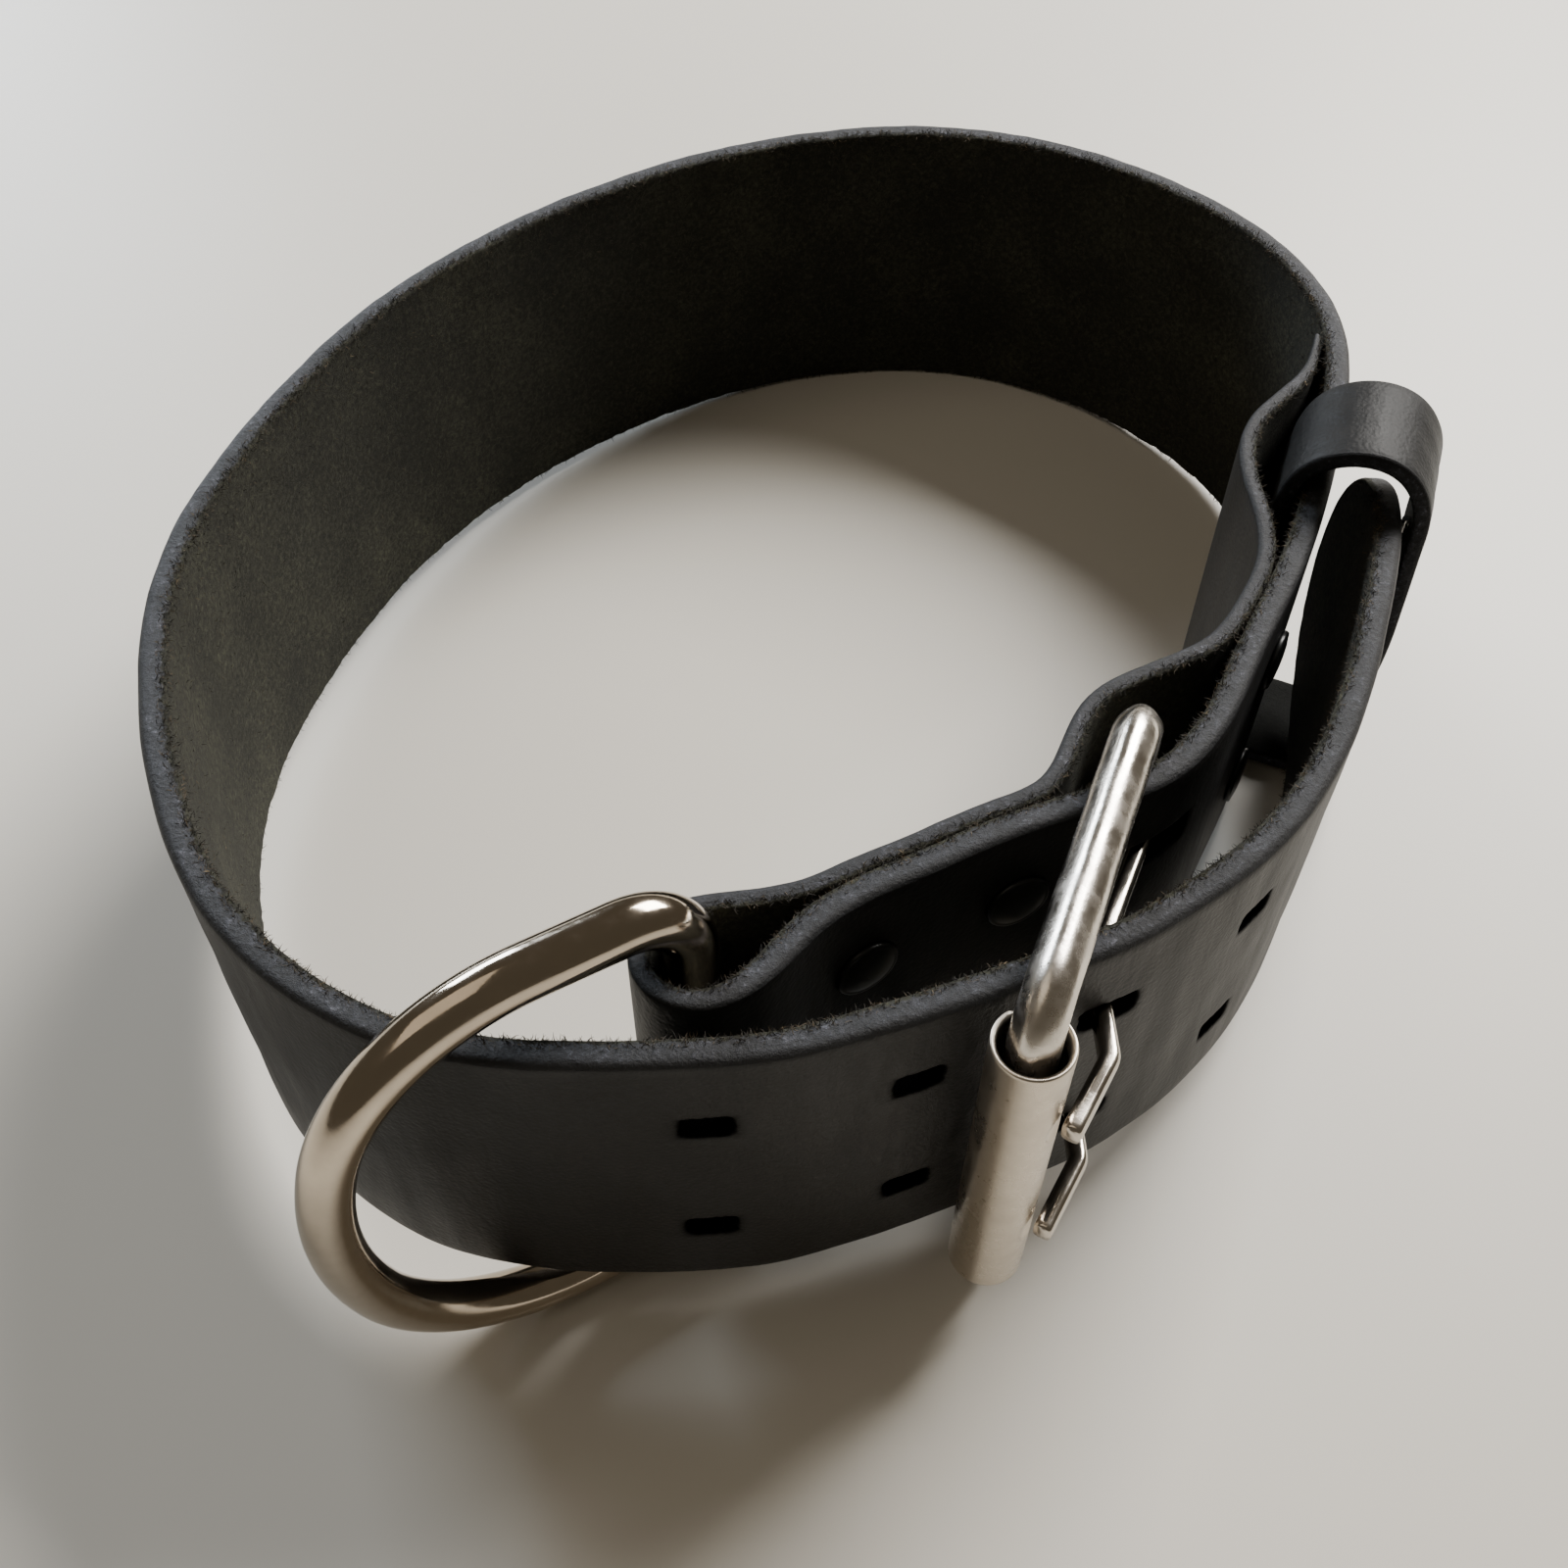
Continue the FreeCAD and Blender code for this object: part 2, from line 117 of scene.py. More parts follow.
# The strap's centre line seen from above: tongue, round the back, the layer that carries
# the buckle, and the turned-back lining.  The fold round the D-ring's bar is worked out.
TONGUE_RUN = [
    (84.6, 14.6), (83.4, 5.8), (81.8, -3.2), (80.0, -11.5), (76.2, -23.2),
    (66.3, -47.2), (52.3, -66.6), (34.6, -79.2), (18.5, -86.2), (-1.5, -93.0),
    (-20.9, -94.7), (-40.7, -92.3),
]
BACK_RUN = [
    (-60.1, -80.0), (-76.6, -51.2), (-82.6, -20.0), (-79.0, 3.8), (-62.6, 42.9),
    (-34.8, 73.2), (-2.2, 91.4), (31.8, 94.4), (63.3, 77.7), (80.6, 51.5),
    (82.6, 36.4), (79.2, 18.2), (72.6, -1.6),
]
OUTER_LAYER_RUN = [
    (65.2, -19.2), (56.8, -35.4), (48.2, -50.6), (42.3, -56.1), (35.6, -59.4),
    (24.5, -63.9), (13.5, -69.8), (5.2, -74.6), (0.2, -79.3), (-3.6, -84.0),
]
LINING_RUN = [
    (-4.6, -74.4), (1.0, -72.9), (6.6, -69.9), (12.0, -67.1), (22.9, -61.2),
    (28.9, -57.8), (32.5, -51.6), (36.6, -43.9), (42.8, -39.4), (53.2, -33.0),
    (58.2, -25.9), (62.2, -17.4), (63.4, -9.0), (63.2, -1.5), (64.0, 6.0),
    (66.8, 12.6), (71.4, 18.2), (76.2, 24.2), (79.6, 33.4),
]
KEEPER_PROFILE = [
    (-4.1, 25.0), (-4.1, 38.0), (-4.1, 47.0), (-2.6, 52.8), (3.2, 57.0), (9.4, 56.4),
    (13.6, 51.4), (14.6, 44.0), (15.4, 27.0), (15.3, 9.0), (15.2, 1.2), (12.0, -2.3),
    (2.2, -2.6), (-2.8, -2.1), (-4.4, 2.6), (-4.2, 12.0),
]

# ---- Placing -----------------------------------------------------------------------------


def tilted(vectors):
    """Directions of the upright collar, as they stand once it rests on the table."""
    v = np.asarray(vectors, float)
    c = math.cos(math.radians(REST_TILT))
    s = math.sin(math.radians(REST_TILT))
    return np.stack([v[..., 0], v[..., 1] * c + v[..., 2] * s, v[..., 2] * c - v[..., 1] * s], -1)


def set_down(points):
    """Upright collar in millimetres to the resting collar in metres."""
    pivot = np.array([0.0, REST_EDGE_Y, 0.0])
    shift = np.array([ORIGIN_SHIFT[0], ORIGIN_SHIFT[1] + REST_EDGE_Y, 0.0])
    return (tilted(np.asarray(points, float) - pivot) + shift) * MM


def standing(points, spot, heading):
    """Local x out, y across, z up, turned to a heading and stood at a spot of the plan."""
    p = np.asarray(points, float)
    c = math.cos(math.radians(heading))
    s = math.sin(math.radians(heading))
    return np.stack([
        p[..., 0] * c - p[..., 1] * s + spot[0],
        p[..., 0] * s + p[..., 1] * c + spot[1],
        p[..., 2],
    ], -1)


# ---- Curves ------------------------------------------------------------------------------


def smooth_line(points, step=0.2):
    """Even steps along the smooth curve through the points, a cubic on chord length."""
    p = np.array(points, float)
    n = len(p)
    h = np.linalg.norm(np.diff(p, axis=0), axis=1)
    t = np.concatenate([[0.0], np.cumsum(h)])
    system = np.eye(n)
    pull = np.zeros_like(p)
    for i in range(1, n - 1):
        system[i, i - 1:i + 2] = h[i - 1], 2.0 * (h[i - 1] + h[i]), h[i]
        pull[i] = 6.0 * ((p[i + 1] - p[i]) / h[i] - (p[i] - p[i - 1]) / h[i - 1])
    bend = np.linalg.solve(system, pull)
    fine = np.linspace(0.0, t[-1], int(3 * t[-1] / step))
    k = np.clip(np.searchsorted(t, fine, side="right") - 1, 0, n - 2)
    hk = h[k][:, None]
    a = (t[k + 1] - fine)[:, None]
    b = (fine - t[k])[:, None]
    curve = (bend[k] * a ** 3 + bend[k + 1] * b ** 3) / (6.0 * hk)
    curve += (p[k] / hk - bend[k] * hk / 6.0) * a + (p[k + 1] / hk - bend[k + 1] * hk / 6.0) * b
    return even_steps(curve, step)


def even_steps(curve, step):
    """The same line with its points spaced evenly, about one step apart."""
    lengths = np.concatenate([[0.0], np.cumsum(np.linalg.norm(np.diff(curve, axis=0), axis=1))])
    count = max(2, int(round(lengths[-1] / step)) + 1)
    wanted = np.linspace(0.0, lengths[-1], count)
    return np.stack([np.interp(wanted, lengths, curve[:, i]) for i in range(curve.shape[1])], -1)


def closed_smooth_line(points, step=0.2):
    """The same for a closed loop: it runs on past its ends and is cut where it repeats."""
    lap = 5
    wrapped = list(points[-lap:]) + list(points) + list(points[:lap])
    line = smooth_line(wrapped, step)
    first = np.argmin(np.linalg.norm(line - np.array(points[0]), axis=1))
    half = len(line) // 2
    back = np.argmin(np.linalg.norm(line[half:] - np.array(points[0]), axis=1)) + half
    return even_steps(line[first:back + 1], step)[:-1]


def out_of_loop(path):
    """Unit directions out of a closed path that runs clockwise."""
    way = np.roll(path, -1, axis=0) - np.roll(path, 1, axis=0)
    way /= np.linalg.norm(way, axis=1)[:, None]
    return np.stack([-way[:, 1], way[:, 0]], -1)


def fold_run():
    """The half turn round the D-ring's bar, from the outer layer to the lining."""
    radius = FOLD_BORE + 0.5 * LINING_THICK + FOLD_EASE
    turn = np.radians(np.arange(FOLD_FROM, FOLD_TO - 1.0, -30.0))
    return [(RING_PIN[0] + radius * math.cos(a), RING_PIN[1] + radius * math.sin(a)) for a in turn]


class Line:
    """The strap's centre line, read by length from the tongue's tip."""

    def __init__(self, points, step=0.2):
        self.at = smooth_line(points, step)
        self.length = float(np.sum(np.linalg.norm(np.diff(self.at, axis=0), axis=1)))
        self.s = np.linspace(0.0, self.length, len(self.at))
        way = np.gradient(self.at, axis=0)
        self.way = way / np.linalg.norm(way, axis=1)[:, None]

    def point(self, s):
        return np.stack([np.interp(s, self.s, self.at[:, i]) for i in (0, 1)], -1)

    def outward(self, s):
        """Unit direction out of the leather's grain side."""
        way = np.stack([np.interp(s, self.s, self.way[:, i]) for i in (0, 1)], -1)
        out = np.stack([-way[..., 1], way[..., 0]], -1)
        return out / np.linalg.norm(out, axis=-1)[..., None]

    def length_at(self, spot, low=0.0, high=1e9):
        """Length at which the line passes nearest to a spot."""
        gap = np.linalg.norm(self.at - np.array(spot), axis=1)
        gap[(self.s < low) | (self.s > high)] = 1e9
        return float(self.s[np.argmin(gap)])


STRAP_LINE = Line(TONGUE_RUN + BACK_RUN + OUTER_LAYER_RUN + fold_run() + LINING_RUN)
FOLD_AT = STRAP_LINE.length_at(OUTER_LAYER_RUN[-1])
LAYER_AT = STRAP_LINE.length_at(BACK_RUN[-1])


def leather_thickness(s):
    """Full leather up to the fold, skived thinner round it, feathered at the end."""
    s = np.asarray(s, float)
    thin = np.clip((s - FOLD_AT + SKIVE_BEFORE_FOLD) / SKIVE_LENGTH, 0.0, 1.0)
    thick = STRAP_THICK + (LINING_THICK - STRAP_THICK) * thin
    left = np.clip((STRAP_LINE.length - s) / FEATHER_LENGTH, 0.0, 1.0)
    return np.where(left < 1.0, END_THICK + (LINING_THICK - END_THICK) * left, thick)


def wander(values, wavelength, seed):
    """Slow random rise and fall between -1 and 1 along one length."""
    rng = random.Random(seed)
    total = np.zeros_like(np.asarray(values, float))
    for part in (1.0, 0.61, 0.37):
        total += math.sqrt(part) * np.sin(values * 2.0 * math.pi / (wavelength * part)
                                          + rng.uniform(0.0, 2.0 * math.pi))
    return total / 2.4


# ---- Meshes ------------------------------------------------------------------------------


def make_piece(name, points, faces, material):
    """A smooth-shaded mesh object from points already in metres."""
    mesh = bpy.data.meshes.new(name)
    mesh.from_pydata([tuple(p) for p in points], [], faces)
    mesh.polygons.foreach_set("use_smooth", [True] * len(mesh.polygons))
    mesh.materials.append(material)
    mesh.update()
    piece = bpy.data.objects.new(name, mesh)
    bpy.context.scene.collection.objects.link(piece)
    return piece


def add_value(piece, name, values):
    """One number per point, for the materials and for scattering."""
    attribute = piece.data.attributes.new(name, "FLOAT", "POINT")
    attribute.data.foreach_set("value", np.asarray(values, np.float32))


def add_place(piece, name, places):
    """Three numbers per point."""
    attribute = piece.data.attributes.new(name, "FLOAT_VECTOR", "POINT")
    attribute.data.foreach_set("vector", np.asarray(places, np.float32).ravel())


def outward_faces(piece):
    """Merges doubled points and turns every face outwards."""
    edit = bmesh.new()
    edit.from_mesh(piece.data)
    bmesh.ops.remove_doubles(edit, verts=edit.verts, dist=0.00001)
    bmesh.ops.recalc_face_normals(edit, faces=edit.faces)
    edit.to_mesh(piece.data)
    edit.free()
    piece.data.update()


def grid_faces(rows, columns, wrap_rows=False):
    """Quads over rows of points that each close on themselves."""
    faces = []
    for i in range(rows if wrap_rows else rows - 1):
        j = (i + 1) % rows
        for a in range(columns):
            b = (a + 1) % columns
            faces.append((i * columns + a, i * columns + b, j * columns + b, j * columns + a))
    return faces


# ---- The strap ---------------------------------------------------------------------------

FACE_ROWS = 41             # rows across each face, so that both rows of holes fall on one
FACE_EDGE = 1.0            # the faces stop this far from the strap's edges
ROW_STEP = (STRAP_WIDTH - 2 * FACE_EDGE) / (FACE_ROWS - 1)
GRAIN_CORNER = 1.25        # radius the edge is burnished to on the grain side
FLESH_CORNER = 0.35
EDGE_CROWN = 0.28          # the edge falls this much towards the flesh side
FOLD_TO_MIDDLE = 10.0      # from the start of the fold to the far side of the D-ring's bar
FOLD_REACH = 16.0          # half the length laid finely where the strap folds
FOLD_STEP = 0.65
HOLE_STEP = 0.9
PLAIN_STEP = 1.25
LAST_STEP = 0.6
FACE_WAVE = 0.10           # slow unevenness of the faces and of the edges
EDGE_WAVE = 0.07
CALM_END = 20.0            # the faces lie true near the tip and where the layers meet
CALM_FADE = 25.0
FRAY = 0.13                # unevenness of the torn fibres along the flesh corner
FRAYED_SIDE = -0.35        # how far towards the flesh side the tearing starts

PUNCH_CORNER = 1.15        # corner radius of the oblong punch
PUNCH_MARGIN = 1.9         # leather round a cut that is laid in rings
PUNCH_ROWS = 3             # rows above and below a cut's middle that it takes up
PUNCH_RAG = 0.13
WALL_RAG = 0.22
# rings from the grid to the rim: share of the way in, share of depth sunk, how much painted shade darkens
# the leather there
RIM_STEPS = ((0.35, 0.0, 0.0), (0.62, 0.0, 0.1), (0.84, 0.02, 0.45), (0.95, 0.06, 0.85))
WALL_STEPS = (0.80, 0.45, 0.05, -0.40, -0.78)
# both ends of the slots that let the prongs swing, on the outer layer
PRONG_SLOT_ENDS = ((32.2, -60.9), (47.3, -51.8))
PRONG_SLOT_EASE = 1.0


def row_height(k):
    return FACE_EDGE + ROW_STEP * k


def edge_section(thick):
    """Top edge of the leather, from grain side to flesh side: (depth, height) pairs.
    The grain corner is bevelled and burnished round, the flesh corner is left nearly sharp."""
    half = 0.5 * thick
    big = min(GRAIN_CORNER, 0.36 * thick)
    small = min(FLESH_CORNER, 0.12 * thick)
    spots = []
    for angle in (22.0, 40.0, 58.0, 74.0, 90.0):
        a = math.radians(angle)
        spots.append((half - big + big * math.cos(a), STRAP_WIDTH - big + big * math.sin(a)))
    run = thick - big - small
    for share in (0.25, 0.5, 0.75):
        spots.append((half - big - share * run, STRAP_WIDTH - EDGE_CROWN * share * share))
    for angle in (100.0, 135.0, 165.0):
        a = math.radians(angle)
        spots.append((-half + small + small * math.cos(a),
                      STRAP_WIDTH - EDGE_CROWN - small + small * math.sin(a)))
    return spots


EDGE_POINTS = len(edge_section(STRAP_THICK))
SECTION_POINTS = 2 * (FACE_ROWS + EDGE_POINTS)


def strap_section(s):
    """Depth, height and side (+1 grain, -1 flesh) of every point round the section at s."""
    thick = float(leather_thickness(s))
    half = 0.5 * thick
    rows = [row_height(k) for k in range(FACE_ROWS)]
    top = edge_section(thick)
    bottom = [(d, STRAP_WIDTH - z) for d, z in reversed(top)]
    loop = [(half, z) for z in rows] + top + [(-half, z) for z in reversed(rows)] + bottom
    return [(d, z, d / half) for d, z in loop]


def tongue_half_width(s):
    """Half the strap's width where the tongue's corners are rounded off."""
    full = 0.5 * STRAP_WIDTH
    if s >= TIP_CORNER:
        return full
    return full - TIP_CORNER + math.sqrt(max(0.0, TIP_CORNER ** 2 - (TIP_CORNER - s) ** 2))


def strap_stations():
    """Lengths from the tip at which the section is laid: closer at the tip, holes and fold."""
    arc_steps = 22
    spots = [TIP_CORNER * (1.0 - math.cos(0.5 * math.pi * i / arc_steps)) for i in range(arc_steps)]
    fold_middle = FOLD_AT + FOLD_TO_MIDDLE
    s = TIP_CORNER
    while s < STRAP_LINE.length - LAST_STEP:
        spots.append(s)
        if abs(s - fold_middle) < FOLD_REACH:
            s += FOLD_STEP
        elif s < FIRST_HOLE + HOLE_PITCH * HOLE_PAIRS:
            s += HOLE_STEP
        else:
            s += PLAIN_STEP
    spots.append(STRAP_LINE.length)
    return spots


def on_strap(s, depth, z):
    """Point of the strap in upright millimetres, with the small unevenness of real leather."""
    s = np.asarray(s, float)
    z = np.asarray(z, float)
    out = STRAP_LINE.outward(s)
    before_layer = np.clip((LAYER_AT - CALM_END - s) / CALM_FADE, 0.0, 1.0)
    free = before_layer * np.clip((s - CALM_END) / CALM_FADE, 0.0, 1.0)
    wave = FACE_WAVE * free * (wander(s, 37.0, 3) + wander(s + 1.7 * z, 53.0, 4))
    across = (z - 0.5 * STRAP_WIDTH) / (0.5 * STRAP_WIDTH)
    lift = EDGE_WAVE * wander(s, 11.0, 5) * across
    xy = STRAP_LINE.point(s) + out * (np.asarray(depth, float) + wave)[..., None]
    return np.concatenate([xy, (z + lift)[..., None]], -1)


def oblong(share_s, share_z, half_length, half_height):
    """Point of a punched slot's outline for a point on the border of a unit square."""
    x = share_s * half_length
    z = share_z * half_height
    r = PUNCH_CORNER
    over_x = abs(x) - (half_length - r)
    over_z = abs(z) - (half_height - r)
    if over_x <= 0.0 or over_z <= 0.0:
        return x, z
    size = math.hypot(over_x, over_z)
    return (math.copysign(half_length - r + over_x * r / size, x),
            math.copysign(half_height - r + over_z * r / size, z))


def square_loop(i0, i1, k0, k1):
    """Grid nodes round the border of a block of cells, in order."""
    loop = [(i, k0) for i in range(i0, i1)] + [(i1, k) for k in range(k0, k1)]
    loop += [(i, k1) for i in range(i1, i0, -1)] + [(i0, k) for k in range(k1, k0, -1)]
    return loop


def cut_sites():
    """Every slot through the leather: length from the tip, row height, half length, half height."""
    sites = []
    for pair in range(HOLE_PAIRS):
        length = USED_HOLE_LENGTH if pair == USED_PAIR else HOLE_LENGTH
        for z in ROWS:
            sites.append((FIRST_HOLE + HOLE_PITCH * pair, z, 0.5 * length, 0.5 * HOLE_HEIGHT))
    near, far = [STRAP_LINE.length_at(end, LAYER_AT, FOLD_AT) for end in PRONG_SLOT_ENDS]
    for z in ROWS:
        half_height = 0.5 * PRONG_HEIGHT + PRONG_SLOT_EASE
        sites.append((0.5 * (near + far), z, 0.5 * abs(near - far), half_height))
    return sites


class Skin:
    """Points of the strap's surface, each kept as where it lies in the leather: length from
    the tip, height, depth, side (+1 grain, -1 flesh) and how far it is inside a cut."""

    def __init__(self):
        self.s = []
        self.z = []
        self.depth = []
        self.side = []
        self.cut = []
        self.faces = []

    def add(self, s, z, depth, side, cut):
        self.s.append(s)
        self.z.append(z)
        self.depth.append(depth)
        self.side.append(side)
        self.cut.append(cut)

    def add_ring(self, spots, side, cut):
        """Ring of points at one share of the leather's depth; gives their numbers."""
        first = len(self.s)
        for s, z in spots:
            depth = side * 0.5 * float(leather_thickness(s))
            self.add(s, z, depth, max(-1.0, min(1.0, side)), cut)
        return [first + n for n in range(len(spots))]

    def join(self, loop_a, loop_b, flip):
        """Band of quads between two rings."""
        count = len(loop_a)
        for n in range(count):
            m = (n + 1) % count
            quad = (loop_a[n], loop_a[m], loop_b[m], loop_b[n])
            self.faces.append(quad[::-1] if flip else quad)


def lay_sections(skin, stations, rng):
    """Lays a section at every station, narrowed at the tip and frayed along the flesh corner."""
    middle = 0.5 * STRAP_WIDTH
    for s in stations:
        squeeze = tongue_half_width(s) / middle
        for depth, z, side in strap_section(s):
            frayed = side < FRAYED_SIDE and min(z, STRAP_WIDTH - z) < FACE_EDGE - 0.1
            fray = rng.uniform(-FRAY, FRAY) if frayed else 0.0
            height = middle + (z + fray - middle) * squeeze
            skin.add(s, height, depth + 0.5 * fray, side, 0.0)


def punched_outline(stations, border, site, rng):
    """The slot's edge, one slightly ragged spot for every grid node round it."""
    s_mid, z_mid, half_length, half_height = site
    rag = [rng.uniform(-PUNCH_RAG, PUNCH_RAG) for _ in border]
    lengths = [stations[i] for i, _ in border]
    heights = [row_height(k) for _, k in border]
    s_low, s_high = min(lengths), max(lengths)
    z_low, z_high = min(heights), max(heights)
    outline = []
    for s, z, ragged in zip(lengths, heights, rag):
        share_s = 2.0 * (s - s_low) / (s_high - s_low) - 1.0
        share_z = 2.0 * (z - z_low) / (z_high - z_low) - 1.0
        x, up = oblong(share_s, share_z, half_length, half_height)
        grow = 1.0 + ragged / math.hypot(x, up)
        outline.append((s_mid + x * grow, z_mid + up * grow))
    return outline


def punch(skin, stations, site, rng):
    """Cuts one slot: both faces dish in to its rim and ragged walls join them.
    Gives the cells of the faces' grid that it takes the place of."""
    s_mid, z_mid, half_length, _ = site
    reach = half_length + PUNCH_MARGIN
    i0 = max(i for i, s in enumerate(stations) if s <= s_mid - reach)
    i1 = min(i for i, s in enumerate(stations) if s >= s_mid + reach)
    k_mid = int(round((z_mid - FACE_EDGE) / ROW_STEP))
    k0, k1 = k_mid - PUNCH_ROWS, k_mid + PUNCH_ROWS
    border = square_loop(i0, i1, k0, k1)
    outline = punched_outline(stations, border, site, rng)

    rims = []
    for sign in (1.0, -1.0):
        previous = [face_point(i, k, sign > 0) for i, k in border]
        for share, sink, cut in RIM_STEPS:
            spots = []
            for (i, k), (s_out, z_out) in zip(border, outline):
                s, z = stations[i], row_height(k)
                spots.append((s + (s_out - s) * share, z + (z_out - z) * share))
            ring = skin.add_ring(spots, sign * (1.0 - sink), cut)
            skin.join(previous, ring, sign > 0)
            previous = ring
        rims.append(previous)

    previous, flesh_rim = rims
    for side in WALL_STEPS:
        spots = []
        for s, z in outline:
            inward = rng.uniform(0.0, WALL_RAG) / math.hypot(s - s_mid, z - z_mid)
            spots.append((s + (s_mid - s) * inward, z + (z_mid - z) * inward))
        ring = skin.add_ring(spots, side, 1.0)
        skin.join(previous, ring, True)
        previous = ring
    skin.join(previous, flesh_rim, True)
    return {(i, k) for i in range(i0, i1) for k in range(k0, k1)}


def face_point(i, k, grain):
    """Number of the point at station i and row k of the grain face or of the flesh face."""
    column = k if grain else FACE_ROWS + EDGE_POINTS + (FACE_ROWS - 1 - k)
    return i * SECTION_POINTS + column


def cover(skin, station_count, removed):
    """Quads between neighbouring sections, but for the cells taken by cuts, and both ends."""
    for i in range(station_count - 1):
        for a in range(SECTION_POINTS):
            flesh_row = 2 * FACE_ROWS + EDGE_POINTS - 2 - a
            on_grain = a < FACE_ROWS - 1
            on_flesh = 0 <= flesh_row < FACE_ROWS - 1
            if (on_grain and (i, a) in removed) or (on_flesh and (i, flesh_row) in removed):
                continue
            b = (a + 1) % SECTION_POINTS
            here = i * SECTION_POINTS
            there = here + SECTION_POINTS
            skin.faces.append((here + a, here + b, there + b, there + a))
    skin.faces += end_faces(0, False)
    skin.faces += end_faces((station_count - 1) * SECTION_POINTS, True)


def make_strap(material):
    """The whole strap as one closed skin, punched and slotted."""
    stations = strap_stations()
    rng = random.Random(11)
    skin = Skin()
    lay_sections(skin, stations, rng)
    removed = set()
    for site in cut_sites():
        removed |= punch(skin, stations, site, rng)
    cover(skin, len(stations), removed)

    s = np.array(skin.s)
    z = np.array(skin.z)
    side = np.array(skin.side)
    points = on_strap(s, np.array(skin.depth), z)
    piece = make_piece("leather_strap", set_down(points), skin.faces, material)
    add_place(piece, "hide", np.stack([s * MM, z * MM, side], -1))
    add_value(piece, "cut", skin.cut)
    add_value(piece, "fuzz_edge", edge_fuzz_density(s, z, side))
    add_value(piece, "fuzz_nap", nap_density(s, z, side, np.array(skin.cut)))
    outward_faces(piece)
    return piece


def end_faces(first, flip):
    """Closes the strap's end: rungs between the two faces and a cap over each edge."""
    faces = []
    for k in range(FACE_ROWS - 1):
        low = 2 * FACE_ROWS + EDGE_POINTS - 1 - k
        faces.append((first + k, first + low, first + low - 1, first + k + 1))
    top = [first + FACE_ROWS - 1 + n for n in range(EDGE_POINTS + 2)]
    bottom = [first + (2 * FACE_ROWS + EDGE_POINTS - 1 + n) % SECTION_POINTS
              for n in range(EDGE_POINTS + 2)]
    faces += [tuple(top), tuple(bottom)]
    return [f[::-1] for f in faces] if flip else faces


def edge_fuzz_density(s, z, side):
    """Fibres standing up along the flesh corner of both edges, patchy as on the real strap."""
    corner = (side < -0.45) * (np.minimum(z, STRAP_WIDTH - z) < FACE_EDGE)
    patchy = 0.65 + 0.9 * wander(s, 9.0, 21) * wander(s, 23.0, 22) + 0.35 * wander(s, 3.1, 23)
    lower = np.where(z < 0.5 * STRAP_WIDTH, 0.25, 1.0)
    return corner * lower * np.clip(patchy, 0.10, 1.0)


def nap_density(s, z, side, cut):
    """Short nap over the flesh side, thickest just below the upper edge."""
    flesh = (side < -0.99) * (cut < 0.5) * (z > 1.5)
    high = np.clip((z - 30.0) / 18.0, 0.0, 1.0)
    covered = s > LAYER_AT - 10.0
    return flesh * (0.10 + 0.9 * high ** 2) * np.where(covered, 0.1, 1.0)


# ---- The keeper --------------------------------------------------------------------------


def make_keeper(material):
    """Leather loop lying round the strap, its edges softly rounded."""
    path = closed_smooth_line(KEEPER_PROFILE, 0.5)
    out = out_of_loop(path)
    half_width = 0.5 * KEEPER_WIDTH
    half = 0.5 * KEEPER_THICK
    across = list(np.linspace(-half_width + KEEPER_EDGE, half_width - KEEPER_EDGE, 15))
    edge = [(half - 0.18, half_width - 0.25, 0.8), (half - 0.65, half_width, 0.45),
            (0.0, half_width, 0.0), (-half + 0.55, half_width, -0.5),
            (-half + 0.12, half_width - 0.25, -0.9)]
    section = [(half, y, 1.0) for y in across] + edge
    section += [(-half, y, -1.0) for y in reversed(across)]
    section += [(d, -y, side) for d, y, side in reversed(edge)]
    around = np.cumsum(np.linalg.norm(np.roll(path, -1, axis=0) - path, axis=1))
    points = []
    hide = []
    for (x, z), (nx, nz), s in zip(path, out, around):
        for depth, y, side in section:
            rise = 0.05 * math.sin(s / 6.0) + 0.04 * math.sin(s / 2.7 + y)
            away = depth + rise
            points.append((x + nx * away, y + 0.10 * math.sin(s / 9.0), z + nz * away))
            hide.append((s * MM, (y + half_width) * MM, side))
    faces = grid_faces(len(path), len(section), wrap_rows=True)
    placed = set_down(standing(points, KEEPER_MIDDLE, KEEPER_HEADING - 90.0))
    piece = make_piece("leather_keeper", placed, faces, material)
    add_place(piece, "hide", hide)
    add_value(piece, "cut", [0.0] * len(points))
    outward_faces(piece)
    return piece


# ---- Bent wire: D-ring and buckle frame --------------------------------------------------


def arc(centre, radius, first, last, step=0.35):
    """Points of an arc in the wire's own plane, angles in degrees."""
    count = max(3, int(abs(math.radians(last - first)) * radius / step))
    a = np.radians(np.linspace(first, last, count))
    return np.stack([centre[0] + radius * np.cos(a), centre[1] + radius * np.sin(a)], -1)


def mirrored_path(upper):
    """Closes a wire's path from its upper half, which runs from the bar's middle round."""
    lower = upper[::-1] * np.array([1.0, -1.0])
    return np.concatenate([upper, lower])


def ring_path():
    """Straight bar, arm, shoulder and wide bow, in x out and z up about the bar's middle."""
    half = 0.5 * (RING_INSIDE_HEIGHT + RING_WIRE)
    rise = half - RING_SHOULDER
    span = RING_REACH - RING_SHOULDER
    middle = (span ** 2 - RING_ARM ** 2 - rise ** 2) / (2.0 * (span - RING_ARM))
    meet = math.degrees(math.atan2(rise, RING_ARM - middle))
    upper = np.concatenate([
        [(0.0, 0.0)],
        arc((RING_CORNER, half - RING_CORNER), RING_CORNER, 180.0, 90.0),
        arc((RING_ARM, rise), RING_SHOULDER, 90.0, meet),
        arc((middle, 0.0), RING_REACH - middle, meet, 0.0),
    ])
    return closed_even(mirrored_path(upper), 0.7)


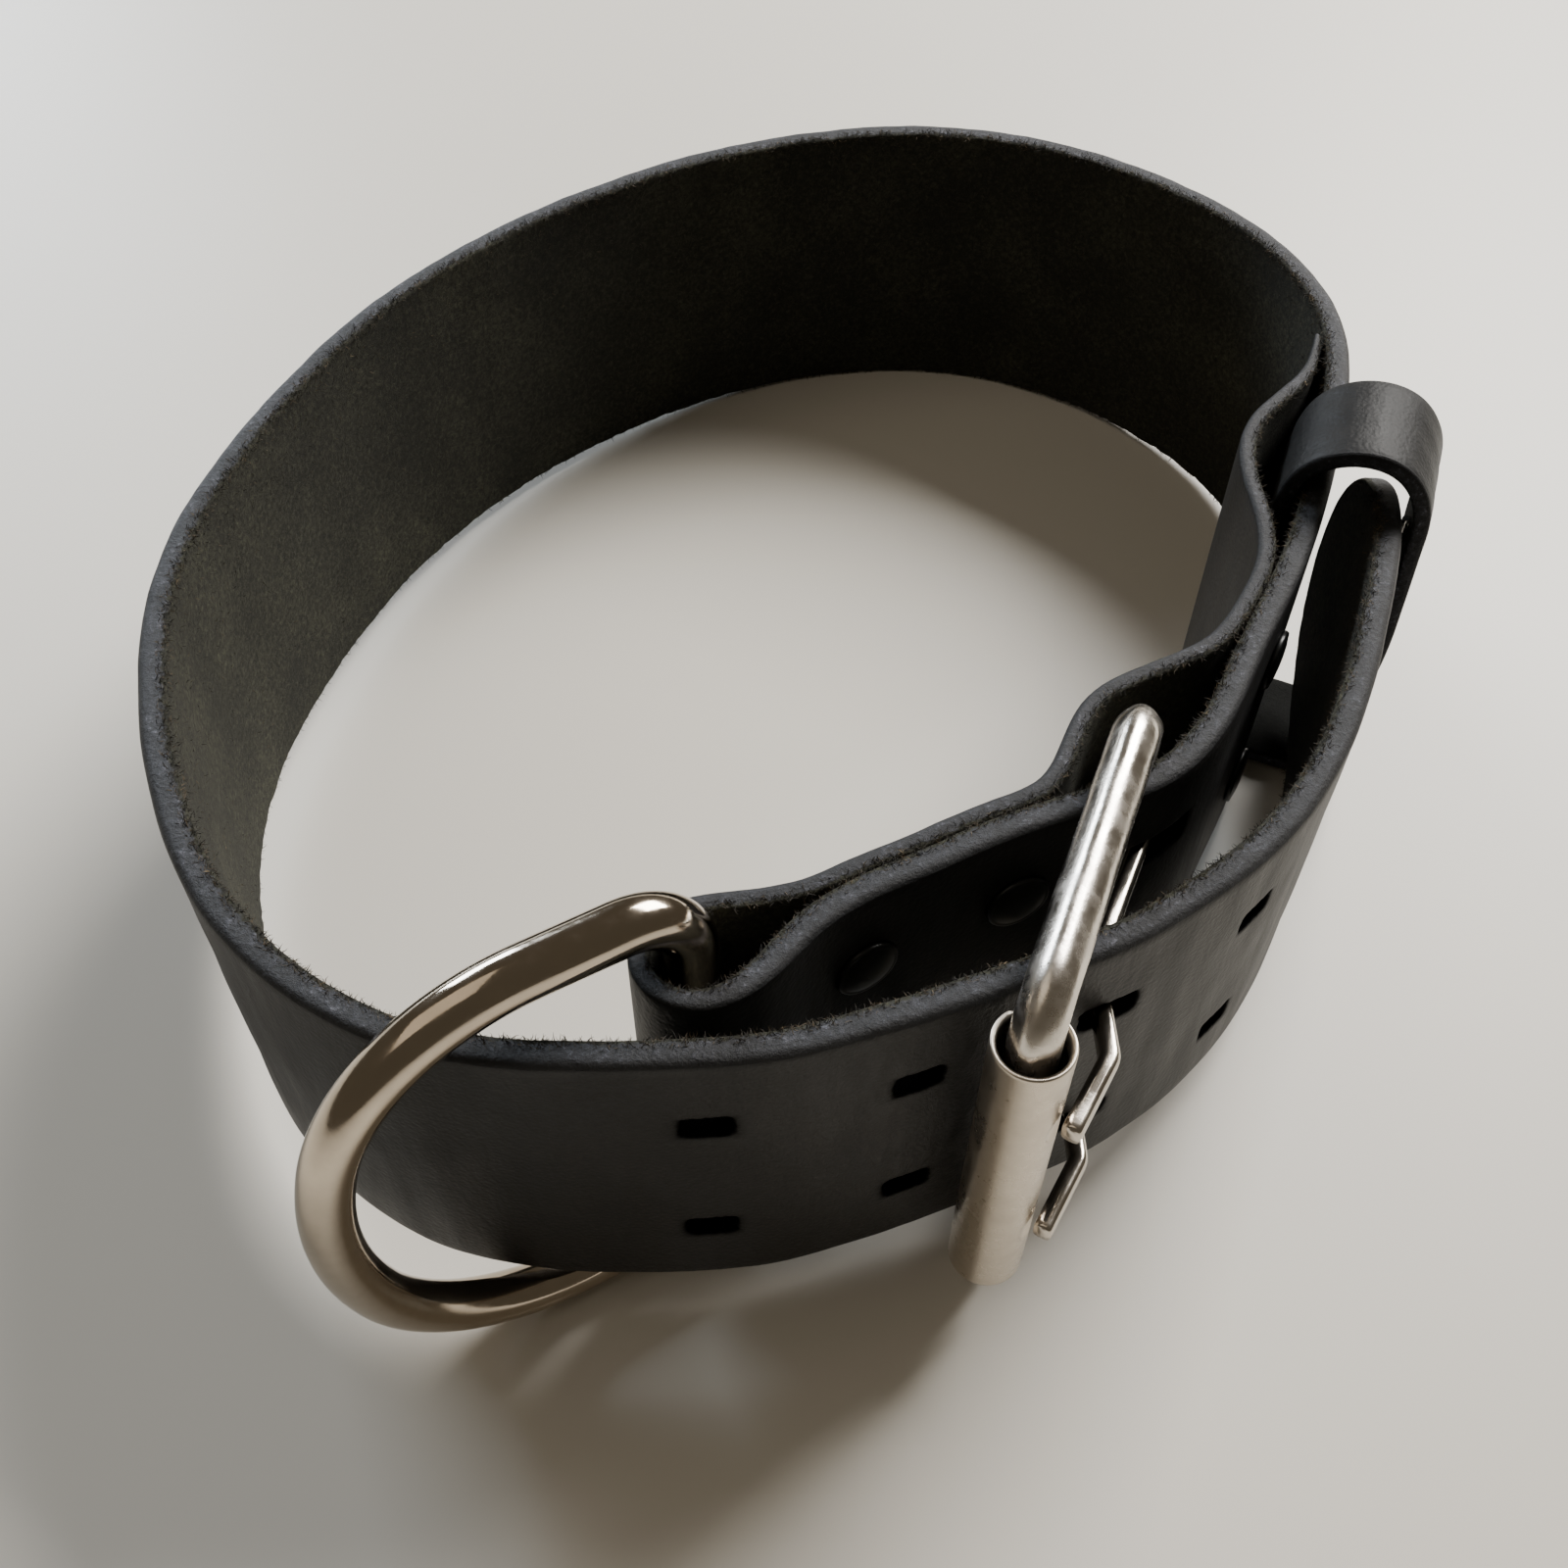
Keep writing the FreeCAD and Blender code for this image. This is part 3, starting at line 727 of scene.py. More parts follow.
def frame_path():
    """Heel bar, arms and front bar of the buckle."""
    half = 0.5 * (FRAME_INSIDE_HEIGHT + FRAME_WIRE)
    reach = math.hypot(FRONT_BAR[0] - HEEL[0], FRONT_BAR[1] - HEEL[1])
    upper = np.concatenate([
        [(0.0, 0.0)],
        arc((HEEL_CORNER, half - HEEL_CORNER), HEEL_CORNER, 180.0, 90.0),
        arc((reach - FRONT_CORNER, half - FRONT_CORNER), FRONT_CORNER, 90.0, 0.0),
        [(reach, 0.0)],
    ])
    return closed_even(mirrored_path(upper), 0.6)


def closed_even(path, step):
    """Even steps round a closed path, its doubled points dropped."""
    loop = np.concatenate([path, path[:1]])
    keep = np.concatenate([[True], np.linalg.norm(np.diff(loop, axis=0), axis=1) > 1e-6])
    return even_steps(loop[keep], step)[:-1]


def bent_wire(name, path, section, material, spot, heading, lean=0.0, middle_z=0.0):
    """Sweeps a section round a closed flat path.  section(angle, s) gives the radius."""
    inward = -out_of_loop(path)
    around = 32
    angle = np.arange(around) * 2.0 * math.pi / around
    s = np.concatenate([[0.0], np.cumsum(np.linalg.norm(np.diff(path, axis=0), axis=1))])
    radius = section(angle[None, :], s[:, None])
    off_plane = radius * np.sin(angle)
    in_plane = radius * np.cos(angle)
    x = path[:, 0:1] + inward[:, 0:1] * in_plane
    z = path[:, 1:2] + inward[:, 1:2] * in_plane
    y = off_plane
    a = math.radians(lean)
    local = np.stack([x, y * math.cos(a) - z * math.sin(a), y * math.sin(a) + z * math.cos(a)], -1)
    points = standing(local, spot, heading)
    points[..., 2] += middle_z
    faces = grid_faces(len(path), around, wrap_rows=True)
    piece = make_piece(name, set_down(points.reshape(-1, 3)), faces, material)
    wire = np.stack([np.broadcast_to(s[:, None], radius.shape) * MM,
                     np.broadcast_to(angle[None, :], radius.shape),
                     np.zeros_like(radius)], -1)
    add_place(piece, "wire", wire.reshape(-1, 3))
    outward_faces(piece)
    return piece


WELD_REACH = 1.6           # how far the weld's swelling runs from the wire's start
WELD_SWELL = 0.10
FRAME_SQUARING = 2.7       # 2 is a round section, more is squarer
FRAME_LUMP = 0.035


def rounded_square(angle, squaring):
    """Distance out to a rounded square's outline, 1 at the middle of its sides."""
    total = np.abs(np.cos(angle)) ** squaring + np.abs(np.sin(angle)) ** squaring
    return total ** (-1.0 / squaring)


def make_ring(material):
    """Drawn wire, bent and butt-welded in the middle of the hidden bar."""
    def section(angle, s):
        weld = np.exp(-(s / WELD_REACH) ** 2)
        return 0.5 * RING_WIRE + WELD_SWELL * weld * (1.0 + 0.3 * np.sin(5.0 * angle))
    return bent_wire("nickel_d_ring", ring_path(), section, material, RING_PIN, RING_HEADING,
                     RING_LEAN, RING_MIDDLE_Z)


def make_frame(material):
    """Cast frame: the section is round with flats worn on it, and slightly lumpy."""
    heading = math.degrees(math.atan2(FRONT_BAR[1] - HEEL[1], FRONT_BAR[0] - HEEL[0]))

    def section(angle, s):
        squared = rounded_square(angle + math.radians(38.0), FRAME_SQUARING)
        squared = squared / 2.0 ** (0.5 - 1.0 / FRAME_SQUARING)
        lumps = FRAME_LUMP * np.sin(s / 1.9 + 2.0 * angle) * np.sin(s / 4.3 + 1.0)
        return 0.5 * FRAME_WIRE * squared + lumps
    return bent_wire("nickel_buckle_frame", frame_path(), section, material, HEEL, heading,
                     0.0, 0.5 * STRAP_WIDTH)


# ---- Roller ------------------------------------------------------------------------------

DIMPLE_WIDTH = 1.7         # half width and half height of the prongs' rests in the roller
DIMPLE_HEIGHT = 2.4
DIMPLE_DEPTH = 0.6
ROLLER_RIM = 0.35
SEAM_DEPTH = 0.28
SEAM_WIDTH = 0.28


def make_roller(material):
    """Sheet rolled into a tube: bright rounded rims, a butt seam, and two struck dimples."""
    around = 128
    inside = ROLLER_OUTSIDE - ROLLER_WALL
    low = 0.5 * (STRAP_WIDTH - ROLLER_LENGTH)
    high = low + ROLLER_LENGTH
    up = np.linspace(low + ROLLER_RIM, high - ROLLER_RIM, 126)
    rim = [(ROLLER_OUTSIDE - share * ROLLER_WALL, drop)
           for share, drop in ((0.10, 0.10), (0.35, 0.0), (0.60, 0.10))]
    section = [(ROLLER_OUTSIDE, z) for z in up] + [(r, high - drop) for r, drop in rim]
    section += [(inside, z) for z in up[::-1]] + [(r, low + drop) for r, drop in reversed(rim)]
    toward = math.atan2(PRONG_TIP[1] - FRONT_BAR[1], PRONG_TIP[0] - FRONT_BAR[0])
    seam = toward + math.radians(150.0)
    angle = np.arange(around) * 2.0 * math.pi / around
    points = []
    wire = []
    for r, z in section:
        radius = np.full(around, r)
        side = np.sin(angle - seam) * r
        facing = np.cos(angle - seam) > 0
        groove = SEAM_DEPTH * np.exp(-(side / SEAM_WIDTH) ** 2)
        radius -= groove * facing * (r > inside + 0.05)
        for row in ROWS:
            across = np.sin(angle - toward) * r
            away = np.hypot(across / DIMPLE_WIDTH, (z - row) / DIMPLE_HEIGHT)
            front = np.cos(angle - toward) > 0
            radius -= DIMPLE_DEPTH * np.clip(1.3 * (1.0 - away), 0.0, 1.0) ** 0.6 * front
        for a, rr in zip(angle, radius):
            points.append((FRONT_BAR[0] + rr * math.cos(a), FRONT_BAR[1] + rr * math.sin(a), z))
            wire.append((z * MM, a, r - inside))
    faces = grid_faces(len(section), around, wrap_rows=True)
    piece = make_piece("nickel_roller", set_down(points), faces, material)
    add_place(piece, "wire", wire)
    outward_faces(piece)
    return piece


# ---- Prongs ------------------------------------------------------------------------------

PRONG_THROUGH = 4.5        # the bar's inner bend is this far behind the hole
INNER_BEND = 3.0
OUTER_BEND = 1.9
EYE_TURN = 305.0           # degrees the eye is rolled round the heel bar
EYE_TAPER = 6.0            # length over which the eye's wall becomes the bar
PRONG_SQUARING = 3.4


def rounded_corner(before, corner, after, radius):
    """Arc easing a bend between two straight stretches."""
    a = (before - corner) / np.linalg.norm(before - corner)
    b = (after - corner) / np.linalg.norm(after - corner)
    half = 0.5 * math.acos(float(np.clip(a @ b, -1.0, 1.0)))
    middle = (a + b) / np.linalg.norm(a + b)
    centre = corner + middle * radius / math.sin(half)
    start = corner + a * radius / math.tan(half)
    end = corner + b * radius / math.tan(half)
    first = math.atan2(*(start - centre)[::-1])
    last = math.atan2(*(end - centre)[::-1])
    while last - first > math.pi:
        last -= 2.0 * math.pi
    while first - last > math.pi:
        last += 2.0 * math.pi
    turn = np.linspace(first, last, 9)
    return np.stack([centre[0] + radius * np.cos(turn), centre[1] + radius * np.sin(turn)], -1)


def prong_path():
    """Plan of one prong: round the heel bar, through both leathers, then bent back."""
    heel = np.array(HEEL)
    bend = np.array(PRONG_BEND)
    tip = np.array(PRONG_TIP)
    hole = STRAP_LINE.point(FIRST_HOLE + HOLE_PITCH * USED_PAIR)
    inner = hole - (bend - hole) / np.linalg.norm(bend - hole) * PRONG_THROUGH
    rho = 0.5 * (EYE_BORE + EYE_OUTSIDE)
    reach = np.linalg.norm(inner - heel)
    toward = math.atan2(inner[1] - heel[1], inner[0] - heel[0])
    leave = toward + math.acos(rho / reach)
    turn = np.linspace(leave + math.radians(EYE_TURN), leave, 60)
    eye = np.stack([heel[0] + rho * np.cos(turn), heel[1] + rho * np.sin(turn)], -1)
    first_bend = rounded_corner(eye[-1], inner, bend, INNER_BEND)
    second_bend = rounded_corner(inner, bend, tip, OUTER_BEND)
    return np.concatenate([eye, first_bend, second_bend, [tip]]), len(eye)


def make_prong(name, row, material):
    """Stamped bar: flat against the heel bar, crowned on its outer side, cut square at the tip."""
    raw, eye_count = prong_path()
    eye_length = float(np.sum(np.linalg.norm(np.diff(raw[:eye_count], axis=0), axis=1)))
    path = even_steps(raw, 0.45)
    s = np.concatenate([[0.0], np.cumsum(np.linalg.norm(np.diff(path, axis=0), axis=1))])
    way = np.gradient(path, axis=0)
    way /= np.linalg.norm(way, axis=1)[:, None]
    out = np.stack([-way[:, 1], way[:, 0]], -1)
    eye_wall = EYE_OUTSIDE - EYE_BORE
    thick = np.interp(s, [0.0, eye_length, eye_length + EYE_TAPER],
                      [eye_wall, eye_wall, PRONG_THICK])
    around = 24
    angle = np.arange(around) * 2.0 * math.pi / around
    squared = rounded_square(angle, PRONG_SQUARING)
    flat = squared * np.cos(angle)
    tall = squared * np.sin(angle)
    points = []
    wire = []
    for i in range(len(path)):
        left = s[-1] - s[i]
        shrink = 1.0 - 0.10 * math.exp(-left / 0.25) - 0.08 * math.exp(-s[i] / 0.3)
        for f, t, a in zip(flat, tall, angle):
            offset = 0.5 * thick[i] * f * shrink
            points.append((path[i, 0] + out[i, 0] * offset, path[i, 1] + out[i, 1] * offset,
                           row + 0.5 * PRONG_HEIGHT * t * shrink))
            wire.append((s[i] * MM, a, 0.0))
    faces = grid_faces(len(path), around)
    faces.append(tuple(range(around)))
    last = (len(path) - 1) * around
    faces.append(tuple(range(last + around - 1, last - 1, -1)))
    piece = make_piece(name, set_down(points), faces, material)
    add_place(piece, "wire", wire)
    outward_faces(piece)
    return piece


# ---- Geometry Nodes ----------------------------------------------------------------------


def node(tree, kind, settings=None, links=None):
    """Adds one node.  Settings are its properties, its inputs' values, or a ramp's stops."""
    made = tree.nodes.new(kind)
    for name, value in (settings or {}).items():
        if name == "stops":
            while len(made.color_ramp.elements) < len(value):
                made.color_ramp.elements.new(0.5)
            for element, (position, tone) in zip(made.color_ramp.elements, value):
                element.position = position
                element.color = tone
        elif isinstance(name, int) or name in made.inputs:
            made.inputs[name].default_value = value
        else:
            setattr(made, name, value)
    for name, source in (links or {}).items():
        tree.links.new(source, made.inputs[name])
    return made


def new_tree(name, inputs):
    """Geometry tree with named inputs; gives the tree and its group input node."""
    tree = bpy.data.node_groups.new(name, "GeometryNodeTree")
    tree.interface.new_socket("Geometry", in_out="INPUT", socket_type="NodeSocketGeometry")
    for label, kind, value in inputs:
        socket = tree.interface.new_socket(label, in_out="INPUT", socket_type=kind)
        if value is not None:
            socket.default_value = value
    tree.interface.new_socket("Geometry", in_out="OUTPUT", socket_type="NodeSocketGeometry")
    return tree, node(tree, "NodeGroupInput")


def grown(name, source, tree, values):
    """Runs a tree on a copy of a piece's mesh and gives the result as a plain mesh piece."""
    holder = bpy.data.objects.new(name + "_source", source.data.copy())
    bpy.context.scene.collection.objects.link(holder)
    modifier = holder.modifiers.new(name, "NODES")
    modifier.node_group = tree
    for item in tree.interface.items_tree:
        if item.item_type == "SOCKET" and item.in_out == "INPUT" and item.name in values:
            modifier[item.identifier] = values[item.name]
    bpy.context.view_layer.update()
    graph = bpy.context.evaluated_depsgraph_get()
    mesh = bpy.data.meshes.new_from_object(holder.evaluated_get(graph))
    mesh.name = name
    bpy.data.objects.remove(holder)
    piece = bpy.data.objects.new(name, mesh)
    bpy.context.scene.collection.objects.link(piece)
    return piece


def fibre_shape():
    """One loose leather fibre, a millimetre long: three-sided, bent and drawn to a point."""
    heights = (0.0, 0.6, 1.0)
    sway = (0.0, 0.12, 0.45)
    width = (0.075, 0.055, 0.010)
    points = []
    for h, x, w in zip(heights, sway, width):
        for corner in range(3):
            a = corner * 2.0 * math.pi / 3.0
            points.append(((x + w * math.cos(a)) * MM, w * math.sin(a) * MM, h * MM))
    mesh = bpy.data.meshes.new("fibre")
    mesh.from_pydata(points, [], grid_faces(len(heights), 3) + [(0, 2, 1), (6, 7, 8)])
    shape = bpy.data.objects.new("fibre_shape", mesh)
    bpy.context.scene.collection.objects.link(shape)
    shape.hide_render = True
    return shape


def fibre_tree():
    """Scatters fibres where an attribute of the leather says, tilted and sized at random."""
    tree, given = new_tree("leather_fibres", [
        ("Per Square Metre", "NodeSocketFloat", 1.0e6),
        ("Where", "NodeSocketString", "fuzz_edge"),
        ("Shortest", "NodeSocketFloat", 0.3),
        ("Longest", "NodeSocketFloat", 1.0),
        ("Lean", "NodeSocketFloat", 0.8),
        ("Fibre", "NodeSocketObject", None),
        ("Material", "NodeSocketMaterial", None),
        ("Seed", "NodeSocketInt", 1),
    ])
    out = given.outputs
    where = node(tree, "GeometryNodeInputNamedAttribute", {"data_type": "FLOAT"},
                 {"Name": out["Where"]})
    density = node(tree, "ShaderNodeMath", {"operation": "MULTIPLY"},
                   {0: where.outputs["Attribute"], 1: out["Per Square Metre"]})
    spots = node(tree, "GeometryNodeDistributePointsOnFaces", {},
                 {"Mesh": out["Geometry"], "Density": density.outputs[0], "Seed": out["Seed"]})
    fibre = node(tree, "GeometryNodeObjectInfo", {}, {"Object": out["Fibre"]})
    less = node(tree, "ShaderNodeMath", {"operation": "MULTIPLY", 1: -1.0}, {0: out["Lean"]})
    low = node(tree, "ShaderNodeCombineXYZ", {"Z": -math.pi},
               {"X": less.outputs[0], "Y": less.outputs[0]})
    high = node(tree, "ShaderNodeCombineXYZ", {"Z": math.pi}, {"X": out["Lean"], "Y": out["Lean"]})
    turn = node(tree, "FunctionNodeRandomValue", {"data_type": "FLOAT_VECTOR", "Seed": 5},
                {0: low.outputs[0], 1: high.outputs[0]})
    rotation = node(tree, "FunctionNodeEulerToRotation", {}, {0: turn.outputs[0]})
    tilt = node(tree, "FunctionNodeRotateRotation", {"rotation_space": "LOCAL"},
                {0: spots.outputs["Rotation"], 1: rotation.outputs[0]})
    size = node(tree, "FunctionNodeRandomValue", {"data_type": "FLOAT", "Seed": 8},
                {2: out["Shortest"], 3: out["Longest"]})
    placed = node(tree, "GeometryNodeInstanceOnPoints", {}, {
        "Points": spots.outputs["Points"], "Instance": fibre.outputs["Geometry"],
        "Rotation": tilt.outputs[0], "Scale": size.outputs[1]})
    real = node(tree, "GeometryNodeRealizeInstances", {}, {"Geometry": placed.outputs[0]})
    coated = node(tree, "GeometryNodeSetMaterial", {},
                  {"Geometry": real.outputs[0], "Material": out["Material"]})
    node(tree, "NodeGroupOutput", {}, {"Geometry": coated.outputs[0]})
    return tree


def rivet_sites():
    """Point and outward direction of every rivet, on the cap side and on the neck side."""
    caps = []
    backs = []
    behind = 0.5 * STRAP_THICK + LAYER_GAP + LINING_THICK
    for spot in ((7.2, -73.5), (25.6, -63.3), (63.2, -23.1)):
        s = STRAP_LINE.length_at(spot, LAYER_AT, FOLD_AT)
        out = STRAP_LINE.outward(s)
        x, y = STRAP_LINE.point(s)
        for z in ROWS:
            front = 0.5 * STRAP_THICK + 0.02
            caps.append(((x + out[0] * front, y + out[1] * front, z), (out[0], out[1], 0.0)))
            away = behind + 0.02
            backs.append(((x - out[0] * away, y - out[1] * away, z), (-out[0], -out[1], 0.0)))
    return caps, backs


def rivet_tree():
    """Sets one cap on every point of the site mesh, facing along its stored direction."""
    tree, given = new_tree("rivet_caps", [
        ("Cap", "NodeSocketObject", None),
        ("Material", "NodeSocketMaterial", None),
        ("Size", "NodeSocketFloat", 1.0),
    ])
    out = given.outputs
    facing = node(tree, "GeometryNodeInputNamedAttribute",
                  {"data_type": "FLOAT_VECTOR", "Name": "facing"})
    turn = node(tree, "FunctionNodeAlignRotationToVector", {"axis": "Z"},
                {"Vector": facing.outputs["Attribute"]})
    cap = node(tree, "GeometryNodeObjectInfo", {}, {"Object": out["Cap"]})
    points = node(tree, "GeometryNodeMeshToPoints", {}, {"Mesh": out["Geometry"]})
    placed = node(tree, "GeometryNodeInstanceOnPoints", {}, {
        "Points": points.outputs[0], "Instance": cap.outputs["Geometry"],
        "Rotation": turn.outputs[0], "Scale": out["Size"]})
    real = node(tree, "GeometryNodeRealizeInstances", {}, {"Geometry": placed.outputs[0]})
    coated = node(tree, "GeometryNodeSetMaterial", {},
                  {"Geometry": real.outputs[0], "Material": out["Material"]})
    node(tree, "NodeGroupOutput", {}, {"Geometry": coated.outputs[0]})
    return tree


def turned_shape(name, outline, around=40):
    """Lathe-turned closed shape from (radius, height) pairs that start and end on the axis."""
    points = [(0.0, 0.0, outline[0][1] * MM)]
    for r, h in outline[1:-1]:
        for n in range(around):
            a = 2.0 * math.pi * n / around
            points.append((r * math.cos(a) * MM, r * math.sin(a) * MM, h * MM))
    points.append((0.0, 0.0, outline[-1][1] * MM))
    rings = len(outline) - 2
    faces = [tuple(1 + n for n in f) for f in grid_faces(rings, around)]
    last = len(points) - 1
    for n in range(around):
        m = (n + 1) % around
        faces.append((0, 1 + m, 1 + n))
        faces.append((last, 1 + (rings - 1) * around + n, 1 + (rings - 1) * around + m))
    mesh = bpy.data.meshes.new(name)
    mesh.from_pydata(points, [], faces)
    mesh.polygons.foreach_set("use_smooth", [True] * len(mesh.polygons))
    shape = bpy.data.objects.new(name, mesh)
    bpy.context.scene.collection.objects.link(shape)
    shape.hide_render = True
    outward_faces(shape)
    return shape


def cap_outline(radius, height):
    """Low pressed cap: flat crown, rolled rim, hollow-free underside on the leather."""
    return [
        (0.0, height * 0.80), (radius * 0.35, height * 0.78), (radius * 0.62, height * 0.72),
        (radius * 0.80, height * 0.62), (radius * 0.86, height * 0.56), (radius * 0.90, height * 0.58),
        (radius * 0.955, height * 0.55), (radius * 0.99, height * 0.40), (radius, height * 0.22),
        (radius * 0.985, height * 0.06), (radius * 0.93, 0.0), (0.0, 0.0),
    ]


def make_rivets(name, sites, shape, tree, material):
    mesh = bpy.data.meshes.new(name + "_sites")
    mesh.from_pydata([tuple(p) for p in set_down([p for p, _ in sites])], [], [])
    marks = bpy.data.objects.new(name + "_sites", mesh)
    add_place(marks, "facing", tilted([d for _, d in sites]))
    return grown(name, marks, tree, {"Cap": shape, "Material": material, "Size": 1.0})


# ---- Materials ---------------------------------------------------------------------------


def colour(code):
    """sRGB hex to linear red, green, blue and full alpha."""
    parts = [int(code[i:i + 2], 16) / 255.0 for i in (0, 2, 4)]
    linear = [c / 12.92 if c <= 0.04045 else ((c + 0.055) / 1.055) ** 2.4 for c in parts]
    return (*linear, 1.0)


def per_metre(size_mm):
    """Texture scale that makes a pattern's features about this many millimetres."""
    return 1.0 / (size_mm * MM)


def new_material(name):
    material = bpy.data.materials.new(name)
    material.use_nodes = True
    material.node_tree.nodes.clear()
    return material, material.node_tree


def finish_material(tree, links, settings):
    """Shader and output, with constant settings on the shader's own sockets."""
    shader = node(tree, "ShaderNodeBsdfPrincipled", settings, links)
    node(tree, "ShaderNodeOutputMaterial", {}, {"Surface": shader.outputs[0]})


BEND_MIDDLE = 128.0        # the tongue has been bent here to unbuckle it, and is crazed
BEND_REACH = 26.0


def bridle_leather(name, shine, flesh_painted_shade):
    """Vegetable-tanned strap leather, dyed black right through and waxed on the grain side.
    The grain is close and slightly creased, the edges are burnished over bare fibre and so look
    dusty, with a painted blue-grey sheen of sky light on them and a painted shade band along the
    rounded grain corner, and the flesh side is left rough and olive brown."""
    material, tree = new_material(name)
    place = node(tree, "ShaderNodeTexCoord").outputs["Object"]
    hide = node(tree, "ShaderNodeAttribute", {"attribute_name": "hide"}).outputs["Vector"]
    split = node(tree, "ShaderNodeSeparateXYZ", {}, {0: hide}).outputs
    cut = node(tree, "ShaderNodeAttribute", {"attribute_name": "cut"}).outputs["Fac"]

    # which part of the leather this is
    depth = node(tree, "ShaderNodeMath", {"operation": "ABSOLUTE"}, {0: split[2]}).outputs[0]
    edge = node(tree, "ShaderNodeMapRange", {"interpolation_type": "SMOOTHSTEP",
                "From Min": 0.985, "From Max": 0.90, "To Min": 0.0, "To Max": 1.0},
                {"Value": depth}).outputs[0]
    rag = node(tree, "ShaderNodeTexNoise", {"Scale": per_metre(0.9), "Detail": 3.0},
               {"Vector": place}).outputs["Fac"]
    shifted = node(tree, "ShaderNodeMath", {"operation": "MULTIPLY_ADD", 1: 0.9},
                   {0: rag, 2: split[2]}).outputs[0]
    flesh = node(tree, "ShaderNodeMapRange", {"interpolation_type": "SMOOTHSTEP",
                 "From Min": -0.10, "From Max": -0.38, "To Min": 0.0, "To Max": 1.0},
                 {"Value": shifted}).outputs[0]
    # the rounded grain corner of the edge, where a band of painted shade is laid
    rim = node(tree, "ShaderNodeMapRange", {"interpolation_type": "SMOOTHSTEP",
               "From Min": 0.36, "From Max": 0.72, "To Min": 0.0, "To Max": 1.0},
               {"Value": split[2]}).outputs[0]

    # grain side
    cloud = node(tree, "ShaderNodeTexNoise", {"Scale": per_metre(22.0), "Detail": 4.0,
                 "Roughness": 0.6}, {"Vector": place}).outputs["Fac"]
    slanted = node(tree, "ShaderNodeMapping", {"Rotation": (0.0, 0.0, math.radians(38.0)),
                   "Scale": (1.0, 0.16, 0.2)}, {"Vector": hide}).outputs[0]
    drag = node(tree, "ShaderNodeTexNoise", {"Scale": per_metre(5.0), "Detail": 5.0,
                "Roughness": 0.65}, {"Vector": slanted}).outputs["Fac"]
    tone = node(tree, "ShaderNodeMath", {"operation": "MULTIPLY_ADD", 1: 0.55},
                {0: drag, 2: cloud}).outputs[0]
    grain_tone = node(tree, "ShaderNodeValToRGB", {"stops": [
        (0.45, colour("111112")), (0.75, colour("191919")), (1.0, colour("252525"))]},
        {0: tone}).outputs[0]

    # cut edge: dusty bare-fibre specks, whose lightest blue-grey stops are a painted sheen of sky light
    speck = node(tree, "ShaderNodeTexNoise", {"Scale": per_metre(0.75), "Detail": 5.0,
                 "Roughness": 0.75}, {"Vector": place}).outputs["Fac"]
    streak_place = node(tree, "ShaderNodeMapping", {"Scale": (0.30, 1.0, 0.0008)},
                        {"Vector": hide}).outputs[0]
    streak = node(tree, "ShaderNodeTexNoise", {"Scale": per_metre(1.1), "Detail": 4.0,
                  "Roughness": 0.7}, {"Vector": streak_place}).outputs["Fac"]
    dust_and_sheen = node(tree, "ShaderNodeMath", {"operation": "MULTIPLY_ADD", 1: 0.6},
                {0: streak, 2: speck}).outputs[0]
    edge_tone = node(tree, "ShaderNodeValToRGB", {"stops": [
        (0.66, colour("131416")), (0.84, colour("212226")), (0.95, colour("34353b")),
        (1.0, colour("55565e"))]}, {0: dust_and_sheen}).outputs[0]
    # painted shade: the edge tone darkened to near black over the rounded grain corner
    edge_with_corner_shade = node(tree, "ShaderNodeMix", {"data_type": "RGBA", 7: colour("141416")},
                    {0: rim, 6: edge_tone}).outputs[2]

    # flesh side
    nap = node(tree, "ShaderNodeTexNoise", {"Scale": per_metre(0.8), "Detail": 6.0,
               "Roughness": 0.8, "Distortion": 0.6}, {"Vector": place}).outputs["Fac"]
    patch = node(tree, "ShaderNodeTexNoise", {"Scale": per_metre(17.0), "Detail": 3.0},
                 {"Vector": place}).outputs["Fac"]
    flesh_mix = node(tree, "ShaderNodeMath", {"operation": "MULTIPLY_ADD", 1: 0.3},
                     {0: patch, 2: nap}).outputs[0]
    flesh_tone = node(tree, "ShaderNodeValToRGB", {"stops": [
        (0.42, colour("11110e")), (0.62, colour("22221b")), (0.78, colour("3a3a2f")),
        (0.95, colour("5a5948"))]}, {0: flesh_mix}).outputs[0]
    # painted shade: by this share the flesh side is darkened to near black, as inside the keeper's loop
    # where light does not reach
    flesh_tone = node(tree, "ShaderNodeMix", {"data_type": "RGBA", 0: flesh_painted_shade,
                      7: colour("101111")}, {6: flesh_tone}).outputs[2]

    base = node(tree, "ShaderNodeMix", {"data_type": "RGBA"},
                {0: edge, 6: grain_tone, 7: edge_with_corner_shade}).outputs[2]
    base = node(tree, "ShaderNodeMix", {"data_type": "RGBA"},
                {0: flesh, 6: base, 7: flesh_tone}).outputs[2]
    # painted shade: leather inside and round the punched slots darkened to near black as the shade in the
    # holes
    base = node(tree, "ShaderNodeMix", {"data_type": "RGBA", 7: colour("050505")},
                {0: cut, 6: base}).outputs[2]

    # roughness
    grain_rough = node(tree, "ShaderNodeMapRange", {"From Min": 0.3, "From Max": 0.8,
                       "To Min": 0.44, "To Max": 0.64}, {"Value": drag}).outputs[0]
    rough = node(tree, "ShaderNodeMix", {"data_type": "FLOAT", 3: 0.62},
                 {0: edge, 2: grain_rough}).outputs[0]
    rough = node(tree, "ShaderNodeMix", {"data_type": "FLOAT", 3: 0.95},
                 {0: flesh, 2: rough}).outputs[0]
    # no shine inside the slots either, part of their painted shade
    gloss = node(tree, "ShaderNodeMath", {"operation": "SUBTRACT", 0: 1.0}, {1: cut}).outputs[0]
    gloss = node(tree, "ShaderNodeMath", {"operation": "MULTIPLY", 1: 0.5 * shine},
                 {0: gloss}).outputs[0]

